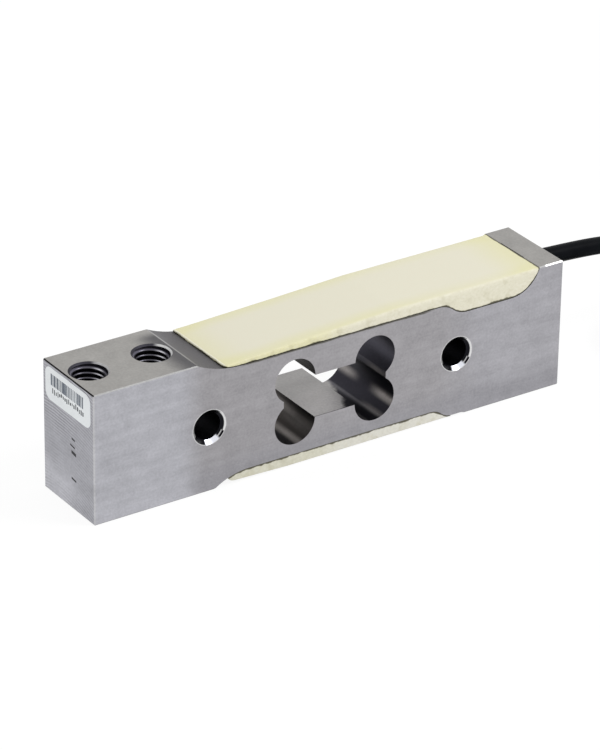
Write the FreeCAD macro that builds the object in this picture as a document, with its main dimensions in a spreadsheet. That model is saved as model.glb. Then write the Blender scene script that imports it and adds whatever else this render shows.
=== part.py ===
import FreeCAD, Part
import math
import os
import re
import Sketcher

# Single point load cell: one machined aluminium beam with a through window whose four lobes leave
# four thin webs, strain gauges bonded over those webs, and resin potting over the gauges, their
# wiring and the small bridge board. Millimetres. The origin is at the middle of the underside,
# +X runs along the beam towards the cable end, +Y across it and +Z up.

V = FreeCAD.Vector

SIZES = [
    ("beam_length", 150.0, "beam, end to end"),
    ("beam_width", 25.4, "beam, across"),
    ("beam_height", 38.1, "beam, underside to top"),
    ("edge_break", 0.3, "chamfer on every outer edge of the bar"),
    ("load_land", 31.4, "flat top at the load end, before the ramp"),
    ("cable_land", 8.0, "flat top at the cable end"),
    ("top_depth", 3.5, "recess over the gauges, below the top"),
    ("top_ramp_radius", 30.0, "hollow ramp from the load land to the recess floor"),
    ("pocket_depth", 7.05, "wiring pocket, below the top"),
    ("pocket_floor", 14.5, "flat floor of the wiring pocket, along the beam"),
    ("pocket_step_run", 9.7, "length of the step down into the pocket"),
    ("pocket_end_radius", 9.9, "hollow end wall of the pocket"),
    ("under_lead", 9.75, "lower recess's flat floor before the load side gauge"),
    ("under_depth", 3.4, "recess under the lower webs"),
    ("under_ramp_radius", 20.0, "hollow ramp of the lower recess"),
    ("under_step_start", 43.5, "where the lower floor steps down, from the cable end"),
    ("under_step_run", 7.5, "length of the lower step"),
    ("under_shelf_depth", 0.55, "shallow run-out beside the lower step"),
    ("under_shelf_radius", 3.0, "cutter radius at the end of the run-out"),
    ("under_shelf_run", 2.5, "flat of the run-out, along the beam"),
    ("upper_web", 2.9, "metal left over the upper lobes"),
    ("lower_web", 3.0, "metal left under the lower lobes"),
    ("lobe_radius", 6.4, "window lobe"),
    ("lobe_reach", 12.8, "lobe centre from the middle, along the beam"),
    ("slot_beyond", 0.05, "floor and roof of the slot past the lobe centres"),
    ("slot_overrun", 3.6, "slot end past the lobe centres"),
    ("side_hole_radius", 4.0, "hole across the beam"),
    ("side_hole_edge", 35.3, "side hole from its end face"),
    ("side_hole_chamfer", 1.05, "chamfer at both mouths of a side hole"),
    ("thread_radius", 5.0, "tapped mounting hole, at the thread's major radius"),
    ("thread_edge", 6.35, "outer tapped hole from its end face"),
    ("thread_spacing", 19.05, "between the two tapped holes of an end"),
    ("thread_depth", 18.0, "full depth of a tapped hole"),
    ("thread_sink", 0.5, "countersink round the mouth of a tapped hole"),
    ("passage_radius", 1.5, "wire passage from the lower recess to the upper"),
    ("cable_radius", 2.5, "cable jacket"),
    ("cable_below_top", 4.7, "cable centre below the beam's top"),
    ("bore_clearance", 0.1, "cable bore over the jacket"),
    ("jacket_reach", 15.0, "jacket inside the beam, from the end face"),
    ("pot_inset", 8.6, "upper potting starts this far down the ramp"),
    ("pot_lip", 0.6, "height of the potting's first edge"),
    ("pot_lip_run", 0.5, "slope of that edge, along the beam"),
    ("pot_full", 94.0, "potting reaches the top from here on, from the load end"),
    ("pot_hollow", 0.12, "potting surface below the top where it is full"),
    ("pot_edge", 0.6, "rounding along the potting's two long edges"),
    ("pot_corner", 1.2, "rounding of the potting's first near corner, seen from above"),
    ("pot_under_inset", 4.6, "lower potting starts this far down its ramp"),
    ("pot_under_short", 0.5, "lower potting ends this far before the lower step's foot"),
    ("pot_under_gap", 0.3, "lower potting above the underside"),
    ("pot_under_nose", 0.9, "lower potting above the underside at its first edge"),
    ("pot_under_nose_run", 2.0, "slope of that edge, along the beam"),
    ("pot_under_full", 60.0, "lower potting is full from here on, from the load end"),
    ("gauge_length", 9.0, "gauge backing, along the beam"),
    ("gauge_width", 5.0, "gauge backing, across"),
    ("gauge_backing", 0.1, "thickness of the backing"),
    ("foil_thickness", 0.05, "thickness of the foil"),
    ("foil_length", 4.6, "length of the foil's grid"),
    ("foil_line", 0.3, "width of one grid line"),
    ("foil_pitch", 0.6, "from one grid line to the next"),
    ("tab_size", 1.4, "side of a solder tab"),
    ("tab_spacing", 2.4, "between the two solder tabs"),
    ("board_length", 11.0, "bridge board, along the beam"),
    ("board_width", 17.0, "bridge board, across"),
    ("board_thickness", 0.8, "bridge board"),
    ("pad_radius", 0.6, "solder pad"),
    ("pad_height", 0.1, "solder pad above the board"),
    ("resistor_length", 3.2, "trimming resistor"),
    ("resistor_width", 1.6, "trimming resistor"),
    ("resistor_height", 0.6, "trimming resistor"),
    ("lead_radius", 0.25, "gauge lead"),
    ("lead_level", 1.0, "gauge leads above the floor they run over"),
    ("outer_lane", 3.8, "load side leads, from the middle plane"),
    ("middle_lane", 2.3, "cable side leads, from the middle plane"),
    ("inner_lane", 0.8, "leads that come up the passage, from the middle plane"),
    ("passage_offset", 0.4, "leads in the passage, from its axis along the beam"),
    ("core_radius", 0.55, "insulated core of the cable"),
    ("drain_radius", 0.35, "shield drain wire"),
    ("label_margin", 1.4, "label's ends from the beam's sides"),
    ("label_height", 9.6, "label, upwards"),
    ("label_corner", 2.4, "label corner radius"),
    ("label_thickness", 0.08, "label"),
    ("label_below_top", 1.0, "label's upper edge below the top"),
    ("hank_start", 46.5, "near folds of the put-away hank, from the cable end"),
    ("hank_run", 42.0, "straight run of the hank, from fold to fold"),
    ("hank_fold", 15.0, "cable's middle line in the tightest fold"),
    ("lane_play", 0.1, "from one lane of the hank to the next, over the cable's diameter"),
    ("turn_play", 0.2, "height of one layer of the hank, over the cable's diameter"),
    ("tie_thickness", 1.0, "cable tie round one run of the hank"),
    ("tie_width", 4.0, "cable tie, along the cable"),
    ("tie_start", 4.0, "middle of the cable tie, from the near folds"),
    ("sleeve_wall", 0.4, "shrink sleeve over the jacket's end"),
    ("sleeve_length", 9.0, "shrink sleeve"),
]

doc = FreeCAD.newDocument("single_point_load_cell")
sheet = doc.addObject("Spreadsheet::Sheet", "Sizes")
for row, (alias, number, meaning) in enumerate(SIZES, start=1):
    sheet.set(f"A{row}", meaning)
    sheet.set(f"B{row}", str(number))
    sheet.setAlias(f"B{row}", alias)
doc.recompute()

NODES = []
OVERRUN = 1.0  # how far a cutter runs past the face that it leaves by


def bound(text):
    """An expression on the sheet's sizes, as another object of the document reads it."""
    return re.sub(r"\b[a-z]+(_[a-z]+)+\b", r"Sizes.\g<0>", text)


def value(text):
    """The number that an expression on the sheet's sizes gives."""
    return float(doc.getObject("Sizes").evalExpression(bound(text)))


def body_named(name):
    return doc.addObject("PartDesign::Body", name)


def sketch_on(body, name, role, lift="0"):
    """A sketch on one of the body's own planes, lifted along the plane's normal."""
    sketch = body.newObject("Sketcher::SketchObject", name)
    plane = next(f for f in body.Origin.OriginFeatures if f.Role == role)
    sketch.AttachmentSupport = [(plane, "")]
    sketch.MapMode = "FlatFace"
    if lift != "0":
        sketch.AttachmentOffset = FreeCAD.Placement(V(0, 0, value(lift)), FreeCAD.Rotation())
        sketch.setExpression("AttachmentOffset.Base.z", bound(lift))
    return sketch


def pin(sketch, geometry, point, x, y):
    """Ties a point of a sketch to a pair of expressions."""
    for kind, text in (("DistanceX", x), ("DistanceY", y)):
        rule = Sketcher.Constraint(kind, -1, 1, geometry, point, value(text))
        index = sketch.addConstraint(rule)
        sketch.setExpression(f"Constraints[{index}]", bound(text))


def size_radius(sketch, geometry, text):
    index = sketch.addConstraint(Sketcher.Constraint("Radius", geometry, value(text)))
    sketch.setExpression(f"Constraints[{index}]", bound(text))


def circle(sketch, x, y, radius):
    """A circle whose centre and radius are expressions."""
    centre = V(value(x), value(y), 0)
    geometry = sketch.addGeometry(Part.Circle(centre, V(0, 0, 1), value(radius)), False)
    pin(sketch, geometry, 3, x, y)
    size_radius(sketch, geometry, radius)


def outline(sketch, corners, arcs=None):
    """A closed outline through corners, pairs of expressions. arcs says which edges are round:
    the number of the edge's first corner, with its radius and "left" or "right", the side of the
    way along the outline on which the arc's centre lies."""
    arcs = arcs or {}
    places = [V(value(x), value(y), 0) for x, y in corners]
    ends = []
    for number, start in enumerate(places):
        stop = places[(number + 1) % len(places)]
        if number not in arcs:
            geometry = sketch.addGeometry(Part.LineSegment(start, stop), False)
            ends.append((geometry, 1, 2))
            continue
        radius, side = arcs[number]
        left = side == "left"
        chord = stop - start
        normal = V(-chord.y, chord.x, 0).normalize()
        rise = math.sqrt(value(radius) ** 2 - (chord.Length / 2) ** 2)
        centre = (start + stop) * 0.5 + normal * (rise if left else -rise)
        first, last = (start, stop) if left else (stop, start)
        angles = [math.atan2(p.y - centre.y, p.x - centre.x) for p in (first, last)]
        round_edge = Part.Circle(centre, V(0, 0, 1), value(radius))
        geometry = sketch.addGeometry(Part.ArcOfCircle(round_edge, *angles), False)
        ends.append((geometry, 1, 2) if left else (geometry, 2, 1))
        size_radius(sketch, geometry, radius)
    for number, (geometry, first, last) in enumerate(ends):
        following = ends[(number + 1) % len(ends)]
        rule = Sketcher.Constraint("Coincident", geometry, last, following[0], following[1])
        sketch.addConstraint(rule)
        pin(sketch, geometry, first, *corners[number])


def rectangle(sketch, left, right, low, high):
    outline(sketch, [(left, low), (right, low), (right, high), (left, high)])


def pad(body, name, sketch, length, both_ways=False):
    feature = body.newObject("PartDesign::Pad", name)
    feature.Profile = sketch
    feature.SideType = "Symmetric" if both_ways else "One side"
    feature.setExpression("Length", bound(length))
    doc.recompute()
    return feature


def pocket(body, name, sketch, length, both_ways=False, reverse=False):
    """Cuts the sketch's outline, and stops if it removes nothing."""
    before = body.Shape.Volume
    feature = body.newObject("PartDesign::Pocket", name)
    feature.Profile = sketch
    feature.SideType = "Symmetric" if both_ways else "One side"
    feature.Reversed = reverse
    feature.setExpression("Length", bound(length))
    doc.recompute()
    if body.Shape.Volume > before - 0.01:
        raise RuntimeError(f"{name} cuts nothing")
    return feature


def keep(thing, label):
    """Makes an object a node of the part, under its file's name."""
    thing.Label = label
    NODES.append(thing)
    return thing


LOAD_END = "-beam_length / 2"
CABLE_END = "beam_length / 2"
SIDE_CUT = f"(beam_width + {2 * OVERRUN})"


def hollow_run(radius, depth):
    """How far a hollow arc, level at its foot, runs while it climbs by depth."""
    return f"sqrt(2 * {radius} * {depth} - {depth} ^ 2)"


def step_radius(run, drop):
    """The radius of two equal arcs that make a smooth step."""
    return f"(({run} ^ 2 + ({drop}) ^ 2) / (4 * ({drop})))"


# Upper recess, seen from the near side, from the load end to the cable end.
TOP = "beam_height"
TOP_FLOOR = "(beam_height - top_depth)"
POCKET_FLOOR = "(beam_height - pocket_depth)"
RAMP_TOP_X = f"({LOAD_END} + load_land)"
RAMP_FOOT_X = f"({RAMP_TOP_X} + {hollow_run('top_ramp_radius', 'top_depth')})"
WALL_TOP_X = f"({CABLE_END} - cable_land)"
WALL_FOOT_X = f"({WALL_TOP_X} - {hollow_run('pocket_end_radius', 'pocket_depth')})"
STEP_FOOT_X = f"({WALL_FOOT_X} - pocket_floor)"
STEP_TOP_X = f"({STEP_FOOT_X} - pocket_step_run)"
STEP_DROP = "(pocket_depth - top_depth)"
STEP_RADIUS = step_radius("pocket_step_run", STEP_DROP)
STEP_MIDDLE = (f"({STEP_TOP_X} + pocket_step_run / 2)", f"({TOP_FLOOR} - {STEP_DROP} / 2)")

# Lower recess, from the load end to the cable end.
UNDER_FOOT_X = "(-lobe_reach - gauge_length / 2 - under_lead)"
UNDER_TOP_X = f"({UNDER_FOOT_X} - {hollow_run('under_ramp_radius', 'under_depth')})"
UNDER_STEP_X = f"({CABLE_END} - under_step_start)"
UNDER_SHELF_X = f"({UNDER_STEP_X} + under_step_run)"
UNDER_CURVE_X = f"({UNDER_SHELF_X} + under_shelf_run)"
UNDER_END_X = f"({UNDER_CURVE_X} + {hollow_run('under_shelf_radius', 'under_shelf_depth')})"
UNDER_DROP = "(under_depth - under_shelf_depth)"
UNDER_STEP_RADIUS = step_radius("under_step_run", UNDER_DROP)
UNDER_MIDDLE = (f"({UNDER_STEP_X} + under_step_run / 2)", f"(under_depth - {UNDER_DROP} / 2)")

# The window's lobes leave a web under each recess floor. The passage is midway between the gauges'
# ends and the lower step.
LOBE_HIGH = f"({TOP_FLOOR} - upper_web - lobe_radius)"
LOBE_LOW = "(under_depth + lower_web + lobe_radius)"
PASSAGE_X = f"((lobe_reach + gauge_length / 2 + {UNDER_STEP_X}) / 2)"

MID_HEIGHT = "beam_height / 2"
SIDE_HOLE_X = "(beam_length / 2 - side_hole_edge)"
CABLE_LEVEL = "(beam_height - cable_below_top)"

# The bridge board lies in the middle of the pocket's floor.
BOARD_MIDDLE = f"(({STEP_FOOT_X} + {WALL_FOOT_X}) / 2)"
BOARD_HIGH = f"({BOARD_MIDDLE} + board_length / 2)"
BOARD_LOW = f"({BOARD_MIDDLE} - board_length / 2)"
BOARD_TOP = f"({POCKET_FLOOR} + board_thickness)"
PAD_ROW = "(4 * pad_radius)"
PAD_TOP = f"({BOARD_TOP} + pad_height)"
GAUGE_PAD_X = f"({BOARD_LOW} + {PAD_ROW} / 2)"
SECOND_PAD_X = f"({GAUGE_PAD_X} + {PAD_ROW})"
CORE_PAD_X = f"({BOARD_HIGH} - {PAD_ROW} / 2)"
CORE_SPACING = "(board_width / 6)"


def edges_where(shape, test):
    return [f"Edge{n}" for n, edge in enumerate(shape.Edges, start=1) if test(edge)]


def chamfer(body, name, base, names, size):
    feature = body.newObject("PartDesign::Chamfer", name)
    feature.Base = (base, names)
    feature.setExpression("Size", bound(size))
    doc.recompute()
    return feature


def tapped_holes(body, name, side, lift, upwards):
    """Two tapped mounting holes in a row from an end face, cut from one face into the bar."""
    sketch = sketch_on(body, f"{name}_places", "XY_Plane", lift)
    for count in (0, 1):
        reach = f"(beam_length / 2 - thread_edge - {count} * thread_spacing)"
        circle(sketch, f"{side} * {reach}", "0", "thread_radius")
    doc.recompute()
    before = body.Shape.Volume
    hole = body.newObject("PartDesign::Hole", name)
    hole.Profile = sketch
    doc.recompute()
    hole.Reversed = upwards
    hole.DepthType = "Dimension"
    hole.DrillPoint = "Angled"
    hole.HoleCutType = "Countersink"
    hole.HoleCutCustomValues = True
    hole.HoleCutCountersinkAngle = 90
    hole.setExpression("Diameter", bound("2 * thread_radius"))
    hole.setExpression("Depth", bound("thread_depth"))
    hole.setExpression("HoleCutDiameter", bound("2 * (thread_radius + thread_sink)"))
    doc.recompute()
    if body.Shape.Volume > before - 1:
        raise RuntimeError(f"{name} cuts nothing")


def beam():
    """The bar, its two recesses, the window with its four lobes, and every hole."""
    body = body_named("beam_body")
    sketch = sketch_on(body, "bar_outline", "XZ_Plane")
    rectangle(sketch, LOAD_END, CABLE_END, "0", TOP)
    bar = pad(body, "bar", sketch, "beam_width", both_ways=True)
    chamfer(body, "broken_edges", bar, edges_where(bar.Shape, lambda e: True), "edge_break")

    over = f"{TOP} + {OVERRUN}"
    sketch = sketch_on(body, "upper_recess_outline", "XZ_Plane")
    corners = [
        (RAMP_TOP_X, TOP),
        (RAMP_FOOT_X, TOP_FLOOR),
        (STEP_TOP_X, TOP_FLOOR),
        STEP_MIDDLE,
        (STEP_FOOT_X, POCKET_FLOOR),
        (WALL_FOOT_X, POCKET_FLOOR),
        (WALL_TOP_X, TOP),
        (WALL_TOP_X, over),
        (RAMP_TOP_X, over),
    ]
    arcs = {
        0: ("top_ramp_radius", "left"),
        2: (STEP_RADIUS, "right"),
        3: (STEP_RADIUS, "left"),
        5: ("pocket_end_radius", "left"),
    }
    outline(sketch, corners, arcs)
    pocket(body, "upper_recess", sketch, SIDE_CUT, both_ways=True)

    sketch = sketch_on(body, "lower_recess_outline", "XZ_Plane")
    corners = [
        (UNDER_TOP_X, "0"),
        (UNDER_FOOT_X, "under_depth"),
        (UNDER_STEP_X, "under_depth"),
        UNDER_MIDDLE,
        (UNDER_SHELF_X, "under_shelf_depth"),
        (UNDER_CURVE_X, "under_shelf_depth"),
        (UNDER_END_X, "0"),
        (UNDER_END_X, f"-{OVERRUN}"),
        (UNDER_TOP_X, f"-{OVERRUN}"),
    ]
    arcs = {
        0: ("under_ramp_radius", "right"),
        2: (UNDER_STEP_RADIUS, "right"),
        3: (UNDER_STEP_RADIUS, "left"),
        5: ("under_shelf_radius", "right"),
    }
    outline(sketch, corners, arcs)
    pocket(body, "lower_recess", sketch, SIDE_CUT, both_ways=True)

    for along in ("-lobe_reach", "lobe_reach"):
        for level, word in ((LOBE_LOW, "low"), (LOBE_HIGH, "high")):
            name = f"lobe_{'load' if along[0] == '-' else 'cable'}_{word}"
            sketch = sketch_on(body, f"{name}_outline", "XZ_Plane")
            circle(sketch, along, level, "lobe_radius")
            pocket(body, name, sketch, SIDE_CUT, both_ways=True)
    sketch = sketch_on(body, "slot_outline", "XZ_Plane")
    reach = "(lobe_reach + slot_overrun)"
    rectangle(sketch, f"-{reach}", reach, f"{LOBE_LOW} - slot_beyond", f"{LOBE_HIGH} + slot_beyond")
    pocket(body, "slot", sketch, SIDE_CUT, both_ways=True)

    sketch = sketch_on(body, "side_hole_outlines", "XZ_Plane")
    circle(sketch, f"-{SIDE_HOLE_X}", MID_HEIGHT, "side_hole_radius")
    circle(sketch, SIDE_HOLE_X, MID_HEIGHT, "side_hole_radius")
    holes = pocket(body, "side_holes", sketch, SIDE_CUT, both_ways=True)
    half = value("beam_width / 2")

    def mouth(edge):
        curve = edge.Curve
        if not hasattr(curve, "Radius"):
            return False
        same = abs(curve.Radius - value("side_hole_radius")) < 1e-6
        return same and abs(abs(curve.Center.y) - half) < 1e-6

    names = edges_where(holes.Shape, mouth)
    chamfer(body, "side_hole_mouths", holes, names, "side_hole_chamfer")

    tapped_holes(body, "load_holes", "-1", TOP, upwards=False)
    tapped_holes(body, "base_holes", "1", "0", upwards=True)

    sketch = sketch_on(body, "passage_outline", "XY_Plane")
    circle(sketch, PASSAGE_X, "0", "passage_radius")
    pocket(body, "wire_passage", sketch, TOP, reverse=True)
    sketch = sketch_on(body, "cable_bore_outline", "YZ_Plane", CABLE_END)
    circle(sketch, "0", CABLE_LEVEL, "cable_radius + bore_clearance")
    pocket(body, "cable_bore", sketch, f"{CABLE_END} - {BOARD_HIGH}")
    return keep(body, "beam")


def centred(body, name, low_x, high_x, width, lift, thickness):
    """A plate drawn on the body's XY plane, centred across the beam."""
    sketch = sketch_on(body, f"{name}_outline", "XY_Plane", lift)
    rectangle(sketch, low_x, high_x, f"-{width} / 2", f"{width} / 2")
    return pad(body, name, sketch, thickness)


def gauge(label, reach, level, face_down):
    """A foil strain gauge: backing, grid lines, and two solder tabs at its cable side."""
    body = body_named(f"{label}_body")
    centred(body, f"{label}_backing", "-gauge_length / 2", "gauge_length / 2", "gauge_width", "0",
            "gauge_backing")
    foil_start = "(-gauge_length / 2 + foil_pitch)"
    sketch = sketch_on(body, f"{label}_line_outline", "XY_Plane", "gauge_backing")
    rectangle(sketch, foil_start, f"{foil_start} + foil_length",
              "-gauge_width / 2 + foil_pitch", "-gauge_width / 2 + foil_pitch + foil_line")
    line = pad(body, f"{label}_line", sketch, "foil_thickness")
    rows = body.newObject("PartDesign::LinearPattern", f"{label}_grid")
    rows.Originals = [line]
    rows.Direction = (sketch, ["V_Axis"])
    rows.Length = value("gauge_width - 2 * foil_pitch - foil_line")
    rows.setExpression("Length", bound("gauge_width - 2 * foil_pitch - foil_line"))
    rows.Occurrences = int(value("gauge_width - 2 * foil_pitch - foil_line") / value("foil_pitch")) + 1
    body.Tip = rows
    doc.recompute()
    for side, word in (("-1", "right"), ("1", "left")):
        sketch = sketch_on(body, f"{label}_{word}_tab_outline", "XY_Plane", "gauge_backing")
        end = "(gauge_length / 2 - foil_pitch)"
        middle = f"{side} * tab_spacing / 2"
        rectangle(sketch, f"{end} - tab_size", end, f"{middle} - tab_size / 2",
                  f"{middle} + tab_size / 2")
        pad(body, f"{label}_{word}_tab", sketch, "foil_thickness")
    turn = FreeCAD.Rotation(V(1, 0, 0), 180 if face_down else 0)
    body.Placement = FreeCAD.Placement(V(value(reach), 0, value(level)), turn)
    body.setExpression("Placement.Base.x", bound(reach))
    body.setExpression("Placement.Base.z", bound(level))
    return keep(body, label)


def rounded_path(points, share=0.45):
    """Straight runs through points, joined by tangent arcs as large as the runs allow. Gives the
    wire, its length and its radii."""
    edges, radii, last = [], [], points[0]
    for before, corner, after in zip(points, points[1:], points[2:]):
        come, leave = corner - before, after - corner
        turn = come.getAngle(leave)
        reach = share * min(come.Length, leave.Length)
        radii.append(reach / math.tan(turn / 2))
        first = corner - V(come).normalize() * reach
        second = corner + V(leave).normalize() * reach
        aim = V(leave).normalize() - V(come).normalize()
        centre = corner + aim.normalize() * (radii[-1] / math.cos(turn / 2))
        middle = centre + (corner - centre).normalize() * radii[-1]
        edges += [Part.LineSegment(last, first).toShape(), Part.Arc(first, middle, second).toShape()]
        last = second
    edges.append(Part.LineSegment(last, points[-1]).toShape())
    return Part.Wire(edges), sum(edge.Length for edge in edges), radii


ROUND_CORNERS, MITRED_CORNERS = 0, 1  # how a pipe turns where its path does


def tube(points, path, length, radius, corners):
    """A round solid along a path, whose volume has to be its section times its length."""
    rim = Part.Wire([Part.Circle(points[0], points[1] - points[0], radius).toShape()])
    solid = path.makePipeShell([rim], True, True, corners)
    wanted = math.pi * radius**2 * length
    if abs(solid.Volume / wanted - 1) > 0.01:
        raise RuntimeError("a tube's volume isn't its section times its length")
    return solid


def wire(points, radius):
    """A thin wire, bent sharply at each point."""
    length = sum((after - before).Length for before, after in zip(points, points[1:]))
    return tube(points, Part.makePolygon(points), length, radius, MITRED_CORNERS)


def feature(label, shape):
    thing = doc.addObject("Part::Feature", label)
    thing.Shape = shape
    return keep(thing, label)


def mirrored_pair(label, points):
    """Two leads, one each side of the beam's middle plane."""
    solids = []
    for side in (-1, 1):
        solids.append(wire([V(p.x, side * p.y, p.z) for p in points], value("lead_radius")))
    return feature(label, Part.makeCompound(solids))


def board():
    """The small bridge board on the pocket's floor, with its solder pads."""
    body = body_named("bridge_board_body")
    centred(body, "laminate", BOARD_LOW, BOARD_HIGH, "board_width", POCKET_FLOOR, "board_thickness")
    sketch = sketch_on(body, "pad_outlines", "XY_Plane", BOARD_TOP)
    for side in ("-1", "1"):
        for lane in ("outer_lane", "middle_lane", "inner_lane"):
            circle(sketch, GAUGE_PAD_X, f"{side} * {lane}", "pad_radius")
        circle(sketch, SECOND_PAD_X, f"{side} * inner_lane", "pad_radius")
    for place in (-2, -1, 0, 1, 2):
        circle(sketch, CORE_PAD_X, f"{place} * {CORE_SPACING}", "pad_radius")
    pad(body, "solder_pads", sketch, "pad_height")
    return keep(body, "bridge_board")


def resistor(label, side):
    """A trimming resistor, flat on the bridge board between its two rows of pads."""
    block = doc.addObject("Part::Box", f"{label}_block")
    block.setExpression("Length", bound("resistor_length"))
    block.setExpression("Width", bound("resistor_width"))
    block.setExpression("Height", bound("resistor_height"))
    middle = f"({SECOND_PAD_X} + {CORE_PAD_X}) / 2"
    block.setExpression("Placement.Base.x", bound(f"{middle} - resistor_length / 2"))
    block.setExpression("Placement.Base.y", bound(f"{side} * board_width / 4 - resistor_width / 2"))
    block.setExpression("Placement.Base.z", bound(BOARD_TOP))
    return keep(block, label)


def leads():
    """Eight gauge leads in four pairs, from the gauges' tabs to the bridge board. The lower pairs
    come up the wire passage."""
    tab_x = value("gauge_length / 2 - foil_pitch - tab_size / 2")
    tab_y = value("tab_spacing / 2")
    rise = value("gauge_backing + foil_thickness")
    level, floor, under = value("lead_level"), value(TOP_FLOOR), value("under_depth")
    reach, drop = value("lobe_reach"), value(PAD_TOP)
    step, first, second = value(STEP_TOP_X), value(GAUGE_PAD_X), value(SECOND_PAD_X)
    outer, middle, inner = (value(f"{name}_lane") for name in ("outer", "middle", "inner"))
    passage, offset = value(PASSAGE_X), value("passage_offset")

    def upper(start, lane):
        return [
            V(start, tab_y, floor + rise),
            V(start, tab_y, floor + level),
            V(start + 2 * level, lane, floor + level),
            V(step, lane, floor + level),
            V(first, lane, drop + level),
            V(first, lane, drop),
        ]

    pairs = [
        mirrored_pair("leads_top_load_gauge", upper(tab_x - reach, outer)),
        mirrored_pair("leads_top_cable_gauge", upper(tab_x + reach, middle)),
    ]
    far, near = passage + offset, passage - offset
    load_side = [
        V(tab_x - reach, tab_y, under - rise),
        V(tab_x - reach, tab_y, under - level),
        V(tab_x - reach + 2 * level, outer, under - level),
        V(near - level, outer, under - level),
        V(far, inner, under - level),
        V(far, inner, floor + level),
        V(step, inner, floor + level),
        V(first, inner, drop + level),
        V(first, inner, drop),
    ]
    cable_side = [
        V(tab_x + reach, tab_y, under - rise),
        V(tab_x + reach, tab_y, under - level),
        V(near, inner, under - level),
        V(near, inner, floor + 2 * level),
        V(step + level, inner, floor + 2 * level),
        V(second, inner, drop + 1.8 * level),
        V(second, inner, drop),
    ]
    pairs.append(mirrored_pair("leads_under_load_gauge", load_side))
    pairs.append(mirrored_pair("leads_under_cable_gauge", cable_side))
    return pairs


# Each core: its place in the cable as seen from the end, and its pad on the board.
CORES = [
    ("red", -1, 1, -2),
    ("black", -1, -1, -1),
    ("green", 1, -1, 1),
    ("white", 1, 1, 2),
]
CORE_SQUARE = "(cable_radius * 0.38)"


def cable_inside():
    """The jacket's stretch in its bore, and the cores from its stripped end to the board."""
    jacket = doc.addObject("Part::Cylinder", "jacket_in_bore")
    jacket.Placement = FreeCAD.Placement(V(0, 0, 0), FreeCAD.Rotation(V(0, 1, 0), 90))
    jacket.setExpression("Radius", bound("cable_radius"))
    jacket.setExpression("Height", bound("jacket_reach"))
    jacket.setExpression("Placement.Base.x", bound(f"{CABLE_END} - jacket_reach"))
    jacket.setExpression("Placement.Base.z", bound(CABLE_LEVEL))
    keep(jacket, "cable_in_bore")
    end, level = value(f"{CABLE_END} - jacket_reach"), value(CABLE_LEVEL)
    square, drop = value(CORE_SQUARE), value(PAD_TOP)
    spacing, pads = value(CORE_SPACING), value(CORE_PAD_X)
    bend = value("lead_level")
    made = []
    for colour, across, up, place in CORES:
        start = V(end, across * square, level + up * square)
        points = [
            start,
            start - V(1.6 * bend, 0, 0),
            V(pads, place * spacing, drop + 1.6 * bend),
            V(pads, place * spacing, drop),
        ]
        made.append(feature(f"core_{colour}", wire(points, value("core_radius"))))
    start = V(end, 0, level)
    points = [start, start - V(1.6 * bend, 0, 0), V(pads, 0, drop + 1.6 * bend), V(pads, 0, drop)]
    made.append(feature("drain_wire", wire(points, value("drain_radius"))))
    return made


def potting_top(embedded):
    """The upper potting: it fills the recess and the pocket round everything in them."""
    body = body_named("upper_fill")
    sketch = sketch_on(body, "upper_fill_outline", "XZ_Plane")
    start = f"({RAMP_TOP_X} + pot_inset)"
    foot = (f"({TOP_FLOOR} + top_ramp_radius"
            f" - sqrt(top_ramp_radius ^ 2 - ({RAMP_FOOT_X} - {start}) ^ 2))")
    surface = f"({TOP} - pot_hollow)"
    climb = hollow_run("pocket_end_radius", "(pocket_depth - pot_hollow)")
    corners = [
        (start, foot),
        (RAMP_FOOT_X, TOP_FLOOR),
        (STEP_TOP_X, TOP_FLOOR),
        STEP_MIDDLE,
        (STEP_FOOT_X, POCKET_FLOOR),
        (WALL_FOOT_X, POCKET_FLOOR),
        (f"({WALL_FOOT_X} + {climb})", surface),
        (f"({LOAD_END} + pot_full)", surface),
        (f"({start} + pot_lip_run)", f"({foot} + pot_lip)"),
    ]
    arcs = {
        0: ("top_ramp_radius", "left"),
        2: (STEP_RADIUS, "right"),
        3: (STEP_RADIUS, "left"),
        5: ("pocket_end_radius", "left"),
    }
    outline(sketch, corners, arcs)
    fill = pad(body, "upper_resin", sketch, "beam_width", both_ways=True)
    half, lip = value("beam_width / 2"), value(f"{foot} + pot_lip")

    def long_edge(edge):
        ends = [vertex.Point for vertex in edge.Vertexes]
        side = all(abs(abs(p.y) - half) < 1e-6 and p.z > lip - 1e-6 for p in ends)
        return side and abs(ends[0].x - ends[1].x) > 1

    rounding = body.newObject("PartDesign::Fillet", "upper_soft_edges")
    rounding.Base = (fill, edges_where(fill.Shape, long_edge))
    rounding.setExpression("Radius", bound("pot_edge"))
    doc.recompute()
    sketch = sketch_on(body, "first_corner_outline", "XY_Plane", TOP)
    inner, outer = f"{start} + pot_corner", f"{start} - {OVERRUN}"
    corners = [
        (outer, f"-{SIDE_CUT} / 2"),
        (inner, f"-{SIDE_CUT} / 2"),
        (inner, "-beam_width / 2"),
        (start, "pot_corner - beam_width / 2"),
        (outer, "pot_corner - beam_width / 2"),
    ]
    outline(sketch, corners, {2: ("pot_corner", "right")})
    pocket(body, "first_corner", sketch, TOP)
    bore = doc.addObject("Part::Cylinder", "bore_space")
    bore.Placement = FreeCAD.Placement(V(0, 0, 0), FreeCAD.Rotation(V(0, 1, 0), 90))
    bore.setExpression("Radius", bound("cable_radius + bore_clearance"))
    bore.setExpression("Height", bound("jacket_reach"))
    bore.setExpression("Placement.Base.x", bound(f"{CABLE_END} - jacket_reach"))
    bore.setExpression("Placement.Base.z", bound(CABLE_LEVEL))
    return without(body, embedded + [bore], "potting_top")


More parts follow.
